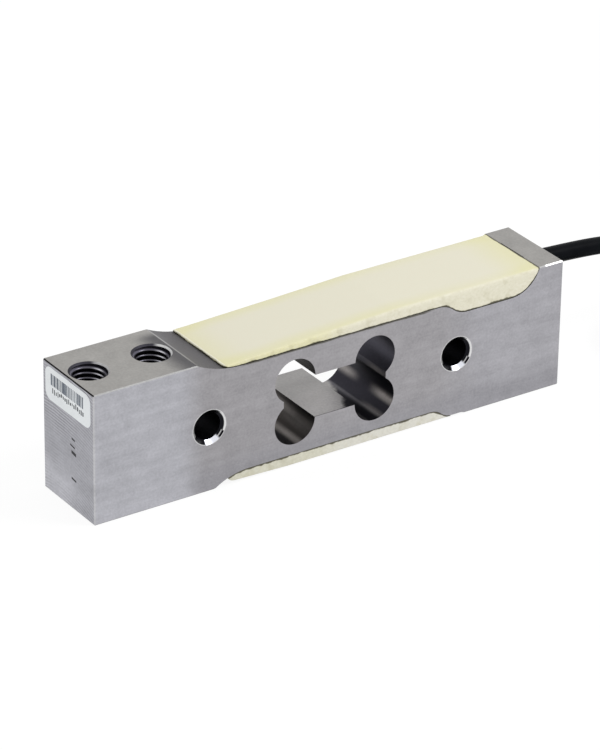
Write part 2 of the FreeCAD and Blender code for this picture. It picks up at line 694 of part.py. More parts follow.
def potting_under(embedded):
    """The lower potting, a little short of the underside, so that the bar rests on metal."""
    body = body_named("lower_fill")
    sketch = sketch_on(body, "lower_fill_outline", "XZ_Plane")
    start, end = f"({UNDER_TOP_X} + pot_under_inset)", f"({UNDER_SHELF_X} - pot_under_short)"
    foot = (f"(under_depth - under_ramp_radius"
            f" + sqrt(under_ramp_radius ^ 2 - ({UNDER_FOOT_X} - {start}) ^ 2))")
    shelf = (f"(under_shelf_depth + {UNDER_STEP_RADIUS}"
             f" - sqrt({UNDER_STEP_RADIUS} ^ 2 - ({UNDER_SHELF_X} - {end}) ^ 2))")
    corners = [
        (start, foot),
        (UNDER_FOOT_X, "under_depth"),
        (UNDER_STEP_X, "under_depth"),
        UNDER_MIDDLE,
        (end, shelf),
        (f"({end} - pot_under_gap)", "pot_under_gap"),
        (f"({LOAD_END} + pot_under_full)", "pot_under_gap"),
        (f"({start} + pot_under_nose_run)", "pot_under_nose"),
    ]
    arcs = {
        0: ("under_ramp_radius", "right"),
        2: (UNDER_STEP_RADIUS, "right"),
        3: (UNDER_STEP_RADIUS, "left"),
    }
    outline(sketch, corners, arcs)
    pad(body, "lower_resin", sketch, "beam_width", both_ways=True)
    return without(body, embedded, "potting_under")


def without(base, tools, label):
    """A piece with the room of others cut out of it."""
    joined = doc.addObject("Part::MultiFuse", f"{label}_room")
    joined.Shapes = tools
    cut = doc.addObject("Part::Cut", f"{label}_cut")
    cut.Base = base
    cut.Tool = joined
    doc.recompute()
    return keep(cut, label)


def label():
    """The serial label's blank on the load end, with rounded corners."""
    body = body_named("label_body")
    sketch = sketch_on(body, "label_outline", "YZ_Plane", LOAD_END)
    left, right = "(label_margin - beam_width / 2)", "(beam_width / 2 - label_margin)"
    high = f"({TOP} - label_below_top)"
    low = f"({high} - label_height)"
    corners = [
        (f"{left} + label_corner", low),
        (f"{right} - label_corner", low),
        (right, f"{low} + label_corner"),
        (right, f"{high} - label_corner"),
        (f"{right} - label_corner", high),
        (f"{left} + label_corner", high),
        (left, f"{high} - label_corner"),
        (left, f"{low} + label_corner"),
    ]
    outline(sketch, corners, {n: ("label_corner", "left") for n in (1, 3, 5, 7)})
    sheet_pad = body.newObject("PartDesign::Pad", "label_sheet")
    sheet_pad.Profile = sketch
    sheet_pad.Reversed = True
    sheet_pad.setExpression("Length", bound("label_thickness"))
    doc.recompute()
    return keep(body, "label")


# The cable outside: it leaves the bore level, sinks to the surface that the cell stands on, and its
# unseen length is folded into a flat hank of two layers, in line with the beam. The hank's widths
# are measured from the line through its folds' middles, and a fold is half a lane wider where the
# cable comes in than where it leaves.
HANK_LEFT = f"({CABLE_END} + hank_start)"
HANK_RIGHT = f"({HANK_LEFT} + hank_run)"
LANE = "(2 * cable_radius + lane_play)"
LAYER = "(2 * cable_radius + turn_play)"
HANK_INSIDE = "(hank_fold - cable_radius)"
HANK_JOIN = f"(hank_fold + 2 * {LANE})"
HANK_OUTER = f"({HANK_JOIN} + cable_radius)"
HANK_NEAR = f"({HANK_OUTER} - {LANE} / 2)"
HANK_INNER = f"({HANK_OUTER} - {LANE})"
HANK_Y = f"(beam_width / 2 - {HANK_OUTER})"
HANK_LOW = "tie_thickness"
HANK_MIDDLE = f"(tie_thickness + {LAYER})"
HANK_HIGH = f"(tie_thickness + 2 * {LAYER})"

# The route's points are shares: along the beam, of the way from the end face to the hank's far
# folds; across it, of the way to the lane that the cable joins; and up, of the height at which it
# leaves over mid height of the lowest turn.
CABLE_ROUTE = [
    (0.147, 0.00, 0.980),
    (0.288, 0.01, 0.936),
    (0.429, 0.12, 0.835),
    (0.554, 0.44, 0.655),
    (0.667, 0.82, 0.430),
    (0.780, 1.01, 0.210),
    (0.895, 1.03, 0.055),
    (1.011, 1.00, 0.003),
]
TAIL_START = 3.0  # the jacket's end, from the far folds
TAIL_ROOM = 0.05  # between the sleeve and the upper layer's inner lane
TAIL_BENDS = (8.5, 15.3, 21.6)  # where the cores sink, lie down and end, past the sleeve
TAIL_STRAIGHT = 2.5  # straight stretch of a core out of the sleeve
TAIL_FAN = 2.2  # how far the outer cores spread to each side
TAIL_STAGGER = 1.1  # how much longer each core is than the one before


def hank():
    """One solid of the hank's outer shape, with room on top for the cable's stripped end."""
    body = body_named("hank_body")
    sketch = sketch_on(body, "hank_outline", "XY_Plane", HANK_LOW)
    far, near = f"({HANK_NEAR} / 2 + {HANK_OUTER} / 2)", f"({HANK_NEAR} / 2 + {HANK_INNER} / 2)"
    corners = [
        (HANK_RIGHT, f"({HANK_Y} - {HANK_NEAR})"),
        (f"({HANK_RIGHT} + {far})", f"({HANK_Y} + {LANE} / 4)"),
        (HANK_RIGHT, f"({HANK_Y} + {HANK_OUTER})"),
        (HANK_RIGHT, f"({HANK_Y} + {HANK_INNER})"),
        (HANK_LEFT, f"({HANK_Y} + {HANK_INNER})"),
        (f"({HANK_LEFT} - {near})", f"({HANK_Y} - {LANE} / 4)"),
        (HANK_LEFT, f"({HANK_Y} - {HANK_NEAR})"),
    ]
    arcs = {0: (far, "left"), 1: (far, "left"), 4: (near, "left"), 5: (near, "left")}
    outline(sketch, corners, arcs)
    corners = [
        (HANK_RIGHT, f"({HANK_Y} - {HANK_INSIDE})"),
        (f"({HANK_RIGHT} + {HANK_INSIDE})", HANK_Y),
        (HANK_RIGHT, f"({HANK_Y} + {HANK_INSIDE})"),
        (HANK_LEFT, f"({HANK_Y} + {HANK_INSIDE})"),
        (f"({HANK_LEFT} - {HANK_INSIDE})", HANK_Y),
        (HANK_LEFT, f"({HANK_Y} - {HANK_INSIDE})"),
    ]
    outline(sketch, corners, {n: (HANK_INSIDE, "left") for n in (0, 1, 3, 4)})
    pad(body, "hank", sketch, f"2 * {LAYER}")
    sketch = sketch_on(body, "tail_room_outline", "XY_Plane", HANK_HIGH)
    ledge = f"({HANK_NEAR} - 2 * cable_radius - sleeve_wall - {TAIL_ROOM})"
    rectangle(sketch, f"({HANK_LEFT} - {HANK_OUTER})", f"({HANK_RIGHT} - {TAIL_START})",
              f"({HANK_Y} - {HANK_OUTER})", f"({HANK_Y} - {ledge})")
    pocket(body, "tail_room", sketch, LAYER)
    return keep(body, "cable_hank")


def tie(wound):
    """A cable tie drawn round one run of the hank."""
    body = body_named("tie_body")
    sketch = sketch_on(body, "tie_outline", "XY_Plane")
    middle = f"({HANK_LEFT} + tie_start)"
    rectangle(sketch, f"({middle} - tie_width / 2)", f"({middle} + tie_width / 2)",
              f"({HANK_Y} + {HANK_INSIDE} - tie_thickness)",
              f"({HANK_Y} + {HANK_INNER} + tie_thickness)")
    pad(body, "tie_band", sketch, f"{HANK_HIGH} + tie_thickness")
    cut = doc.addObject("Part::Cut", "tie_cut")
    cut.Base, cut.Tool = body, wound
    doc.recompute()
    return keep(cut, "hank_tie")


def cable(wound):
    """The free cable from the end face to the hank."""
    radius = value("cable_radius")
    leave = V(value(CABLE_END), 0, value(CABLE_LEVEL))
    join = V(value(HANK_RIGHT), value(f"{HANK_Y} + {HANK_JOIN}"), value(f"{HANK_LOW} + {LAYER} / 2"))
    way = join - leave
    route = [V(leave.x + along * way.x, across * join.y, join.z - share * way.z)
             for along, across, share in CABLE_ROUTE]
    inward = (leave - route[0]).normalize() * OVERRUN
    points = [leave + inward] + route
    path, length, radii = rounded_path(points)
    solid = tube(points, path, length, radius, ROUND_CORNERS)
    print("cable tube: length", round(length - OVERRUN, 1), "radii", [round(r, 1) for r in radii])
    print("route", [[round(c, 2) for c in (p.x - leave.x, p.y, p.z)] for p in route])
    side = 4 * radius
    corner = leave - V(side, side / 2, side / 2)
    inside = Part.makeBox(side, side, side, corner)
    return feature("cable", solid.cut(inside).cut(wound.Shape))


def tail():
    """The shrink sleeve over the jacket's end, and the bare ends of the cores past it."""
    sleeve = doc.addObject("Part::Cylinder", "sleeve_tube")
    sleeve.Placement = FreeCAD.Placement(V(0, 0, 0), FreeCAD.Rotation(V(0, 1, 0), -90))
    level = f"({HANK_MIDDLE} + cable_radius + sleeve_wall)"
    lane = f"({HANK_Y} - {HANK_NEAR} + cable_radius)"
    sleeve.setExpression("Radius", bound("cable_radius + sleeve_wall"))
    sleeve.setExpression("Height", bound("sleeve_length"))
    sleeve.setExpression("Placement.Base.x", bound(f"{HANK_RIGHT} - {TAIL_START}"))
    sleeve.setExpression("Placement.Base.y", bound(lane))
    sleeve.setExpression("Placement.Base.z", bound(level))
    made = [keep(sleeve, "jacket_sleeve")]
    mouth = V(value(f"{HANK_RIGHT} - {TAIL_START} - sleeve_length"), value(lane), value(level))
    floor, square = value(HANK_MIDDLE), value(CORE_SQUARE)
    # Each core: its place in the jacket, across and up, and its share of the fan on the hank.
    spots = [(colour, across * square, up * square) for colour, across, up, _ in CORES]
    spots = [spot + (share,) for spot, share in zip(spots, (-1, -0.34, 0.34, 1))]
    spots.append(("drain", 0.0, 0.0, 0.0))
    sink, lay, stop = TAIL_BENDS
    for order, (colour, across, up, share) in enumerate(spots):
        radius = value("drain_radius" if colour == "drain" else "core_radius")
        fan = share * TAIL_FAN
        lie = floor + radius - mouth.z
        if colour == "drain":
            lie += value("2 * core_radius")
        offsets = [
            (0, across, up),
            (TAIL_STRAIGHT, across, up),
            (sink, (across + fan) / 2, (lie + up) / 2),
            (lay, fan, lie),
            (stop + TAIL_STAGGER * order, fan, lie),
        ]
        points = [mouth + V(-along, side, rise) for along, side, rise in offsets]
        made.append(feature(f"tail_{colour}", wire(points, radius)))
    return made


beam()
top_gauges = [
    gauge("gauge_top_load", "-lobe_reach", TOP_FLOOR, False),
    gauge("gauge_top_cable", "lobe_reach", TOP_FLOOR, False),
]
under_gauges = [
    gauge("gauge_under_load", "-lobe_reach", "under_depth", True),
    gauge("gauge_under_cable", "lobe_reach", "under_depth", True),
]
fitted = [board(), resistor("zero_resistor", "-1"), resistor("span_resistor", "1")]
pairs = leads()
fitted += cable_inside()
potting_top(top_gauges + fitted + pairs)
potting_under(under_gauges + pairs[2:])
label()
wound = hank()
tie(wound)
cable(wound)
tail()
doc.recompute()

for thing in doc.Objects:
    if "Invalid" in thing.State or "Error" in thing.State:
        raise RuntimeError(f"{thing.Name} failed: {thing.State}")
os.makedirs("parts", exist_ok=True)
for thing in NODES:
    shape = thing.Shape
    if shape.isNull() or not shape.isValid() or not shape.Solids:
        raise RuntimeError(f"{thing.Label} is not a valid solid")
    shape.exportStep(f"parts/{thing.Label}.step")
print(len(NODES), "nodes written")
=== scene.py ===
# %% [markdown]
# Single point load cell.
#
# The object is one machined aluminium bar. A window with four round lobes leaves thin webs, strain
# gauges sit over the webs, and cast resin covers them. A cable leaves the far end. The CAD frame
# already holds the bar, so this lesson adds what machining, casting and printing leave on it.

# %% Load the frame
import bpy
import bmesh
import math
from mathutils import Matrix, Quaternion, Vector, noise


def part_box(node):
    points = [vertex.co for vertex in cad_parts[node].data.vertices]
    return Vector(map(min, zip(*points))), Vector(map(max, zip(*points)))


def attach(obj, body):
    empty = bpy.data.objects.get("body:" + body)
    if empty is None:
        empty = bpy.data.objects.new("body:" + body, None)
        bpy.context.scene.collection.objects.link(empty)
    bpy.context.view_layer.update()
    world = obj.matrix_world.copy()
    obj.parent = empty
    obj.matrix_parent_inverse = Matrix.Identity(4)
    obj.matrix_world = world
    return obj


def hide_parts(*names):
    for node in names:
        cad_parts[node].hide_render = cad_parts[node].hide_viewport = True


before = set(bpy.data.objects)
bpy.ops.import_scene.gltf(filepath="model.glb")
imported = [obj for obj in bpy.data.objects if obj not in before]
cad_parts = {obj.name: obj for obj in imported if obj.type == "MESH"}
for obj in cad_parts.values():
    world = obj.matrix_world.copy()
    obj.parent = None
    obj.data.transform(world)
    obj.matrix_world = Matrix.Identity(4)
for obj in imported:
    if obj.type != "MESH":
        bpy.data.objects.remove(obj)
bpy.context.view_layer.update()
print("nodes in the frame:", len(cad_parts))

# %% [markdown]
# Every size below is in metres and comes from the frame's own boxes, or is a size of the real
# product in millimetres times MM. The bar's box gives its length, width and height.

# %% Sizes of the bar and of its cuts
MM = 0.001
BAR_LOW, BAR_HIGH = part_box("beam")
HALF_LENGTH, HALF_WIDTH, HEIGHT = BAR_HIGH.x, BAR_HIGH.y, BAR_HIGH.z
TAPPED_EDGE, TAPPED_SPACING = 6.35 * MM, 19.05 * MM
TAPPED_RADIUS, SINK_RADIUS = 5.0 * MM, 5.5 * MM
SIDE_HOLE_X, SIDE_HOLE_RADIUS, SIDE_HOLE_CHAMFER = 39.7 * MM, 4.0 * MM, 1.05 * MM
LOAD_LAND_END = -HALF_LENGTH + 31.4 * MM
RECESS_DEPTH, POCKET_DEPTH = 3.5 * MM, 7.05 * MM
print("bar, mm:", [round(side / MM, 2) for side in BAR_HIGH - BAR_LOW])

# %% [markdown]
# The camera comes first. A long lens far away gives the flat perspective of a catalogue picture.
# Its place is told by a target near the bar's middle, two angles, a distance and a small roll.

# %% Camera
CAMERA_TARGET = Vector((-2.1, 1.0, 18.1)) * MM
CAMERA_AZIMUTH, CAMERA_ELEVATION, CAMERA_ROLL = -34.09, 27.39, 0.88
CAMERA_DISTANCE, CAMERA_LENS = 1.116, 199.4


def link(name, data):
    """A new object in the scene."""
    thing = bpy.data.objects.new(name, data)
    bpy.context.scene.collection.objects.link(thing)
    return thing


turn, lift = math.radians(CAMERA_AZIMUTH), math.radians(CAMERA_ELEVATION)
reach = math.cos(lift)
towards = Vector((math.sin(turn) * reach, -math.cos(turn) * reach, math.sin(lift)))
camera = link("camera", bpy.data.cameras.new("camera"))
camera.location = CAMERA_TARGET + towards * CAMERA_DISTANCE
camera.rotation_mode = "QUATERNION"
roll = Quaternion((0, 0, 1), math.radians(CAMERA_ROLL))
camera.rotation_quaternion = (-towards).to_track_quat("-Z", "Y") @ roll
camera.data.lens, camera.data.sensor_width = CAMERA_LENS, 36
camera.data.clip_start, camera.data.clip_end = 0.05, 20
bpy.context.scene.camera = camera
bpy.context.scene.view_settings.view_transform = "Standard"

# %% [markdown]
# Node trees are easier to read as sums. A Port wraps one output socket, so that a * b or 1 - mask
# adds a Math node. A Net makes every other kind of node: its settings are set first, and then its
# sockets get numbers or links.


# %% Ports and nets
def operator(operation, swapped=False):
    """A method that adds one Math node. It is swapped where the port stands on the right."""

    def method(port, other):
        return port.net.maths(operation, *((other, port) if swapped else (port, other)))

    return method


class Port:
    """One output socket. Operators on it add Math nodes to its tree."""

    def __init__(self, net, socket):
        self.net, self.socket = net, socket

    def __abs__(self):
        return self.net.maths("ABSOLUTE", self)

    __add__, __radd__ = operator("ADD"), operator("ADD", swapped=True)
    __sub__, __rsub__ = operator("SUBTRACT"), operator("SUBTRACT", swapped=True)
    __mul__, __rmul__ = operator("MULTIPLY"), operator("MULTIPLY", swapped=True)
    __truediv__, __pow__ = operator("DIVIDE"), operator("POWER")
    __gt__, __lt__ = operator("GREATER_THAN"), operator("LESS_THAN")

    def rise(self, low, high):
        """0 below low, 1 above high and smooth between them."""
        settings = {"interpolation_type": "SMOOTHSTEP"}
        return self.net.add("ShaderNodeMapRange", settings, {0: self, 1: low, 2: high})

    def drop(self, low, high):
        """1 below low, 0 above high and smooth between them."""
        return 1 - self.rise(low, high)

    def band(self, middle, reach):
        """1 at the middle, and 0 past the reach on both sides."""
        return abs(self - middle).drop(0, reach)


class Net:
    """A node tree, written as Python expressions."""

    def __init__(self, tree):
        self.tree = tree

    def add(self, kind, settings=None, inputs=None, out=0):
        """One node. Each input is a number, a port or a list of ports."""
        node = self.tree.nodes.new(kind)
        for name, setting in (settings or {}).items():
            setattr(node, name, setting)
        for name, given in (inputs or {}).items():
            for one in given if isinstance(given, list) else [given]:
                if isinstance(one, Port):
                    self.tree.links.new(one.socket, node.inputs[name])
                else:
                    node.inputs[name].default_value = one
        return Port(self, node.outputs[out] if len(node.outputs) else None)

    def geo(self, kind, settings=None, **inputs):
        """A geometry node. In the names of its sockets _ stands for a space."""
        named = {name.replace("_", " "): given for name, given in inputs.items()}
        return self.add(f"GeometryNode{kind}", settings, named)

    def maths(self, operation, first, second=0):
        return self.add("ShaderNodeMath", {"operation": operation}, {0: first, 1: second})

    def split(self, vector):
        return [self.add("ShaderNodeSeparateXYZ", {}, {0: vector}, out) for out in range(3)]

    def join(self, x, y, z):
        return self.add("ShaderNodeCombineXYZ", {}, {0: x, 1: y, 2: z})

    def grain(self, vector, scale, detail=2, rough=0.5):
        """Noise from 0 to 1."""
        inputs = {"Vector": vector, "Scale": scale, "Detail": detail, "Roughness": rough}
        return self.add("ShaderNodeTexNoise", {}, inputs)

    def stretched(self, place, scales, detail=2):
        """Noise with a scale of its own on each axis, for grain with a direction."""
        parts = [part * scale for part, scale in zip(self.split(place), scales)]
        return self.grain(self.join(*parts), 1, detail)


# %% [markdown]
# A tone is a display colour of three numbers from 0 to 255, one number for a grey, or a port. A
# material starts with the Object coordinates. The frame's pieces sit at the origin, so these are
# the bar's own places, and a pattern never slides.


# %% Materials: a common start and a common end
def linear(tone):
    """A tone as a socket takes it. Ports, and colours with an alpha, stay as they are."""
    if isinstance(tone, Port) or isinstance(tone, tuple) and len(tone) == 4:
        return tone
    shares = [part / 255 for part in (tone if isinstance(tone, tuple) else (tone,) * 3)]
    parts = [s / 12.92 if s <= 0.04045 else ((s + 0.055) / 1.055) ** 2.4 for s in shares]
    return (*parts, 1)


def blend(factor, first, second):
    """The first tone where factor is 0, the second where it is 1."""
    inputs = {0: factor, 6: linear(first), 7: linear(second)}
    return factor.net.add("ShaderNodeMix", {"data_type": "RGBA"}, inputs, 2)


def paint(tone, *coats):
    """A tone with coats over it. Each coat is a factor from 0 to 1 and a tone of its own."""
    for factor, coat in coats:
        tone = blend(factor, tone, coat)
    return tone


def start_material(name):
    material = bpy.data.materials.new(name)
    material.use_nodes = True
    net = Net(material.node_tree)
    return material, net, net.add("ShaderNodeTexCoord", out="Object")


def in_mm(net, place):
    return [part / MM for part in net.split(place)]


def normal_parts(net):
    return net.split(net.add("ShaderNodeTexCoord", out="Normal"))


def end_material(material, net, base, roughness, height=None, bump=0.3, **others):
    """Links what changes over the surface, and sets what is the same all over."""
    shader = next(n for n in net.tree.nodes if n.type == "BSDF_PRINCIPLED")
    for name, given in {"Base Color": base, "Roughness": roughness, **others}.items():
        socket = shader.inputs[name.replace("_", " ")]
        if isinstance(given, Port):
            net.tree.links.new(given.socket, socket)
        else:
            socket.default_value = given
    if height is not None:
        inputs = {"Strength": bump, "Distance": 0.05 * MM, "Height": height}
        bumped = net.add("ShaderNodeBump", {}, inputs)
        net.tree.links.new(bumped.socket, shader.inputs["Normal"])
    return material


def dress(node, material):
    """Gives a CAD node its material."""
    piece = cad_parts[node]
    piece.data.materials.clear()
    piece.data.materials.append(material)


# %% [markdown]
# The bar was milled from drawn stock. Its sides have a fine grain along the bar, its end faces
# show the arcs of a large cutter, the ramp was cut across, and the chamfers of the side holes are
# nearly polished. One material holds all of these: masks from the place and the normal say which
# cut a point belongs to. Its tones also hold painted light, shade and reflections: the ramp is
# painted darker, the bores and lobes dark, and the edges and chamfers get painted glints. Places
# in these cells are in millimetres.


# %% Masks of the cuts
FLAT = 0.9  # a normal's part along an axis, past which a face counts as square to it
END, SIDE, TOP = HALF_LENGTH / MM, HALF_WIDTH / MM, HEIGHT / MM
RAMP_START = LOAD_LAND_END / MM
BORE, MOUTH = SIDE_HOLE_RADIUS / MM, (SIDE_HOLE_RADIUS + SIDE_HOLE_CHAMFER) / MM
WINDOW_REACH, WINDOW_LOW, WINDOW_HIGH = 19.5, 6, 32  # a box just past the four lobes
SLOT_LOW = 12  # just below the slot's floor, between the lobes


def ring_distance(first, second, first_centre=0, second_centre=0):
    """Distance from an axis, in the plane of the two coordinates that are given."""
    one, two = first - first_centre, second - second_centre
    return (one * one + two * two) ** 0.5


def from_side_hole(x, z):
    return ring_distance(abs(x), z, SIDE_HOLE_X / MM, TOP / 2)


def tapped_place(x, y):
    """Distance from the nearest tapped hole's axis, and the direction toward the bar's middle."""
    outer, spacing = END - TAPPED_EDGE / MM, TAPPED_SPACING / MM
    is_inner = abs(x) < outer - spacing / 2
    along = outer - is_inner * spacing - abs(x)
    radius = ring_distance(along, y)
    return radius, along / radius, is_inner


def cut_masks(place, normal):
    """The mask of each kind of cut, by its name."""
    x, y, z = place
    nx, ny, nz = normal
    end, side, level = [abs(part).rise(FLAT - 0.1, FLAT) for part in normal]
    window = (1 - side) * (abs(x) < WINDOW_REACH) * (z > WINDOW_LOW) * (z < WINDOW_HIGH)
    floor = nz.rise(FLAT, 0.99) * (1 - (z < SLOT_LOW) * (x < 0))
    from_hole = from_side_hole(x, z)
    bore = (1 - side) * (from_hole < BORE + 0.04)
    from_tapped = tapped_place(x, y)[0]
    tapped = (1 - level) * (from_tapped < TAPPED_RADIUS / MM + 0.05)
    tilted = (nz > 0.4) * (nz < FLAT) * (z > TOP - 1)
    return {
        "side": side,
        "end": end * (abs(x) > END - 0.1),
        "land": level * (abs(z - TOP / 2) > TOP / 2 - 0.1),
        "ramp": (x > RAMP_START + 0.1) * (x < 0) * (z > TOP - 4) * (nz > 0.5),
        "floor": window * floor,
        "lobes": window * (1 - floor),
        "rim": side * from_hole.band(MOUTH + 0.08, 0.22),
        "bore": bore,
        "chamfer": (1 - side) * (from_hole < MOUTH + 0.03) * (1 - bore),
        "tapped": tapped,
        "sink": (1 - level) * (from_tapped < SINK_RADIUS / MM + 0.02) * (1 - tapped),
        "edge": tilted * (abs(ny) > 0.4) * (abs(y) > SIDE - 0.5),
        # the load end's top edge break, which is painted dark as a reflection
        "painted_dark_edge": tilted * (nx < -0.4) * (x < 0.5 - END),
    }


# %% Tones of the outer faces
def side_tone(x, z):
    """Painted light and shade on the sides: lighter on the load block and toward the cable end,
    painted shade low down, a painted highlight along the load end's corner and a dark painted
    line of shade at the foot.
    """
    return paint(
        (161, 159, 162),
        (x.rise(32, 50), (170, 169, 174)),
        (0.8 * z.drop(2, 12), (152, 151, 156)),
        (x.drop(-50, -40), (180, 180, 186)),
        (0.5 * x.drop(0.1 - END, 0.6 - END), 205),
        (0.5 * z.drop(0.15, 0.5), 110),
    )


def outer_tones(x, y, z):
    """The tones of the level faces, the end faces, the ramp and the broken edges, with painted
    light
    and shade: a painted dark reflection on the land toward the ramp, a lighter low far part and
    painted shade at the foot of the end faces, a ramp painted dark with a painted highlight line at
    its start, and painted highlights on the broken edges, white near the cable end.
    """
    toward_ramp = x.rise(-51.5, -44.5) * y.drop(7, 11.5) * (x < 0)
    low_far_corner = z.drop(4, 15) * y.rise(-9, 3)
    ramp_line = x.band(RAMP_START + 0.55, 0.65) * y.rise(-14, -6)
    cable_end = x.rise(68.6, 69.4)
    end = blend(low_far_corner, (165, 165, 171), (184, 184, 190))
    return {
        "land": blend(toward_ramp, (158, 156, 153), (93, 92, 94)),
        "end": blend(0.7 * z.drop(0.15, 0.5), end, 96),
        "ramp": blend(ramp_line, (89, 87, 90), (158, 157, 157)),
        "edge": blend(cable_end, 172, 240),
    }


def seam_shade(x, z, wobble):
    """A wavy line of painted shade on the side, just below the upper recess's flat floor, where the
    resin meets the metal.
    """
    level = z - (TOP - RECESS_DEPTH / MM) + 0.7 * (wobble - 0.5)
    along = x.rise(-31, -27) * x.drop(28, 33)
    return level.rise(-0.5, -0.2) * level.drop(0.3, 0.4) * along


END_TICKS = [  # y, z, length and width of the punch marks under the label
    (-2.4, 20.8, 1.8, 0.5),
    (-2, 18.7, 2.6, 0.5),
    (-2.6, 16.8, 2.6, 0.95),
    (-2.5, 9, 2.6, 0.6),
]


def end_ticks(x, y, z):
    """A few short punch marks on the load end face, below the label."""
    marks = 0
    for across, up, length, width in END_TICKS:
        near_y = abs(y - across).drop(length * 0.4, length * 0.5)
        off_line = abs(z - up - (y - across) * 0.15)
        marks = marks + near_y * off_line.drop(width * 0.35, width * 0.65)
    return marks * (x < 0.05 - END)


# %% Tones inside the cuts
def floor_tone(x, y, wobble):
    """The slot's floor looks even: its colour is painted lighter toward the front to offset its
    reflections, with a dark painted line of shade along the front edge and a black painted
    reflection of the far lobes in one corner.
    """
    corner = x - 0.5 * (y + SIDE) - 3.5 + 5 * (wobble - 0.5)
    return paint(
        (226, 223, 222),
        (y.rise(-14, 7), (158, 156, 155)),
        (0.7 * y.drop(0.1 - SIDE, 0.45 - SIDE), 70),
        (corner.rise(-1.2, 1.2), (44, 43, 50)),
    )


def lobe_tone(x, y, z, noise_along_y):
    """The lobes are painted dark as shade, with soft painted reflections that run along the bore.
    """
    on_cable_side = x > 0
    front, back = y.drop(-9, -1), y.rise(2, 9)
    glow = z.band(10.6, 1.9) * (front + 0.5 * back)
    glow = glow + (0.8 * z.band(6.3, 1.3) + 0.6 * z.band(18.9, 1.5)) * front
    glow = glow * (0.45 + 0.55 * noise_along_y.rise(0.34, 0.6)) * on_cable_side
    # a painted light streak and a soft painted reflection on the load side's lobes
    light_streak = x.band(-11.5, 1.8) * (z < 9) * (0.6 + 0.4 * front)
    soft_reflection = noise_along_y.rise(0.36, 0.6) * z.band(9.8, 2.8)
    glow = glow + (0.5 * light_streak + 0.42 * soft_reflection) * (1 - on_cable_side)
    cable_side = blend(z.rise(17, 21), (50, 49, 56), (76, 75, 84))
    load_side = blend(x.rise(-13.4, -12), (36, 35, 38), (54, 50, 48))
    tone = blend(on_cable_side, load_side, cable_side)
    return blend(x.net.maths("MINIMUM", glow, 1), tone, (196, 190, 186))


def chamfer_tone(x, z):
    """Painted reflections on the polished ring, as it would mirror what is round it: a black room,
    its walls and one white lamp.
    """
    from_hole = from_side_hole(x, z)
    right = (abs(x) - SIDE_HOLE_X / MM) * x.net.maths("SIGN", x) / from_hole
    down = (TOP / 2 - z) / from_hole
    left = 0 - right
    out = (from_hole - BORE) / (MOUTH - BORE)
    wall = blend(out.rise(0, 0.35), 92, 182)
    line = out.band(0.5, 0.16) * (right > 0)
    flank = blend(line, (20, 20, 24), 190)
    glint = down.rise(0.6, 0.72) * right.rise(-0.3, -0.15)
    ring = paint(
        (26, 26, 30),
        (out.rise(0.62, 0.8), 222),
        (left.rise(0.3, 0.6), wall),
        (down.rise(0.4, 0.48), flank),
        (glint * right.drop(0.54, 0.68), (226, 228, 236)),
    )
    return ring, left.rise(0.35, 0.7) * out.rise(0.1, 0.5)


def sink_tone(x, y):
    """A countersink is painted dark as shade, with a painted highlight on the part that faces the
    load end.
    """
    _, along, is_inner = tapped_place(x, y)
    light = along.rise(0.55, 0.85) * (0.7 + 0.3 * is_inner)
    return blend(light, (62, 61, 68), 204)


# %% Machined aluminium
ARC_CENTRE = 6 * MM, -45 * MM  # y and z of the end cutter's axis
ARC_FEED = 0.9 * MM


def metal_grain(net, place, masks):
    """Fine lines that follow each face's own cutter, from 0 to 1."""
    _, y, z = net.split(place)
    along = net.stretched(place, (90, 90, 2300))
    crosswise = net.stretched(place, (2000, 60, 700))
    bend = net.grain(place, 90)
    arc = ring_distance(y, z, *ARC_CENTRE) / ARC_FEED + 1.6 * bend
    feed = 0.5 + 0.5 * net.maths("SINE", arc * (2 * math.pi))
    patchy = bend.rise(0.36, 0.6) * 0.5 + 0.5 * z.rise(12 * MM, 26 * MM)
    arcs = feed * patchy + 0.5 * (1 - patchy)
    mix = {"data_type": "FLOAT"}
    lines = net.add("ShaderNodeMix", mix, {0: masks["end"], 2: along, 3: arcs})
    return net.add("ShaderNodeMix", mix, {0: masks["ramp"], 2: lines, 3: crosswise})


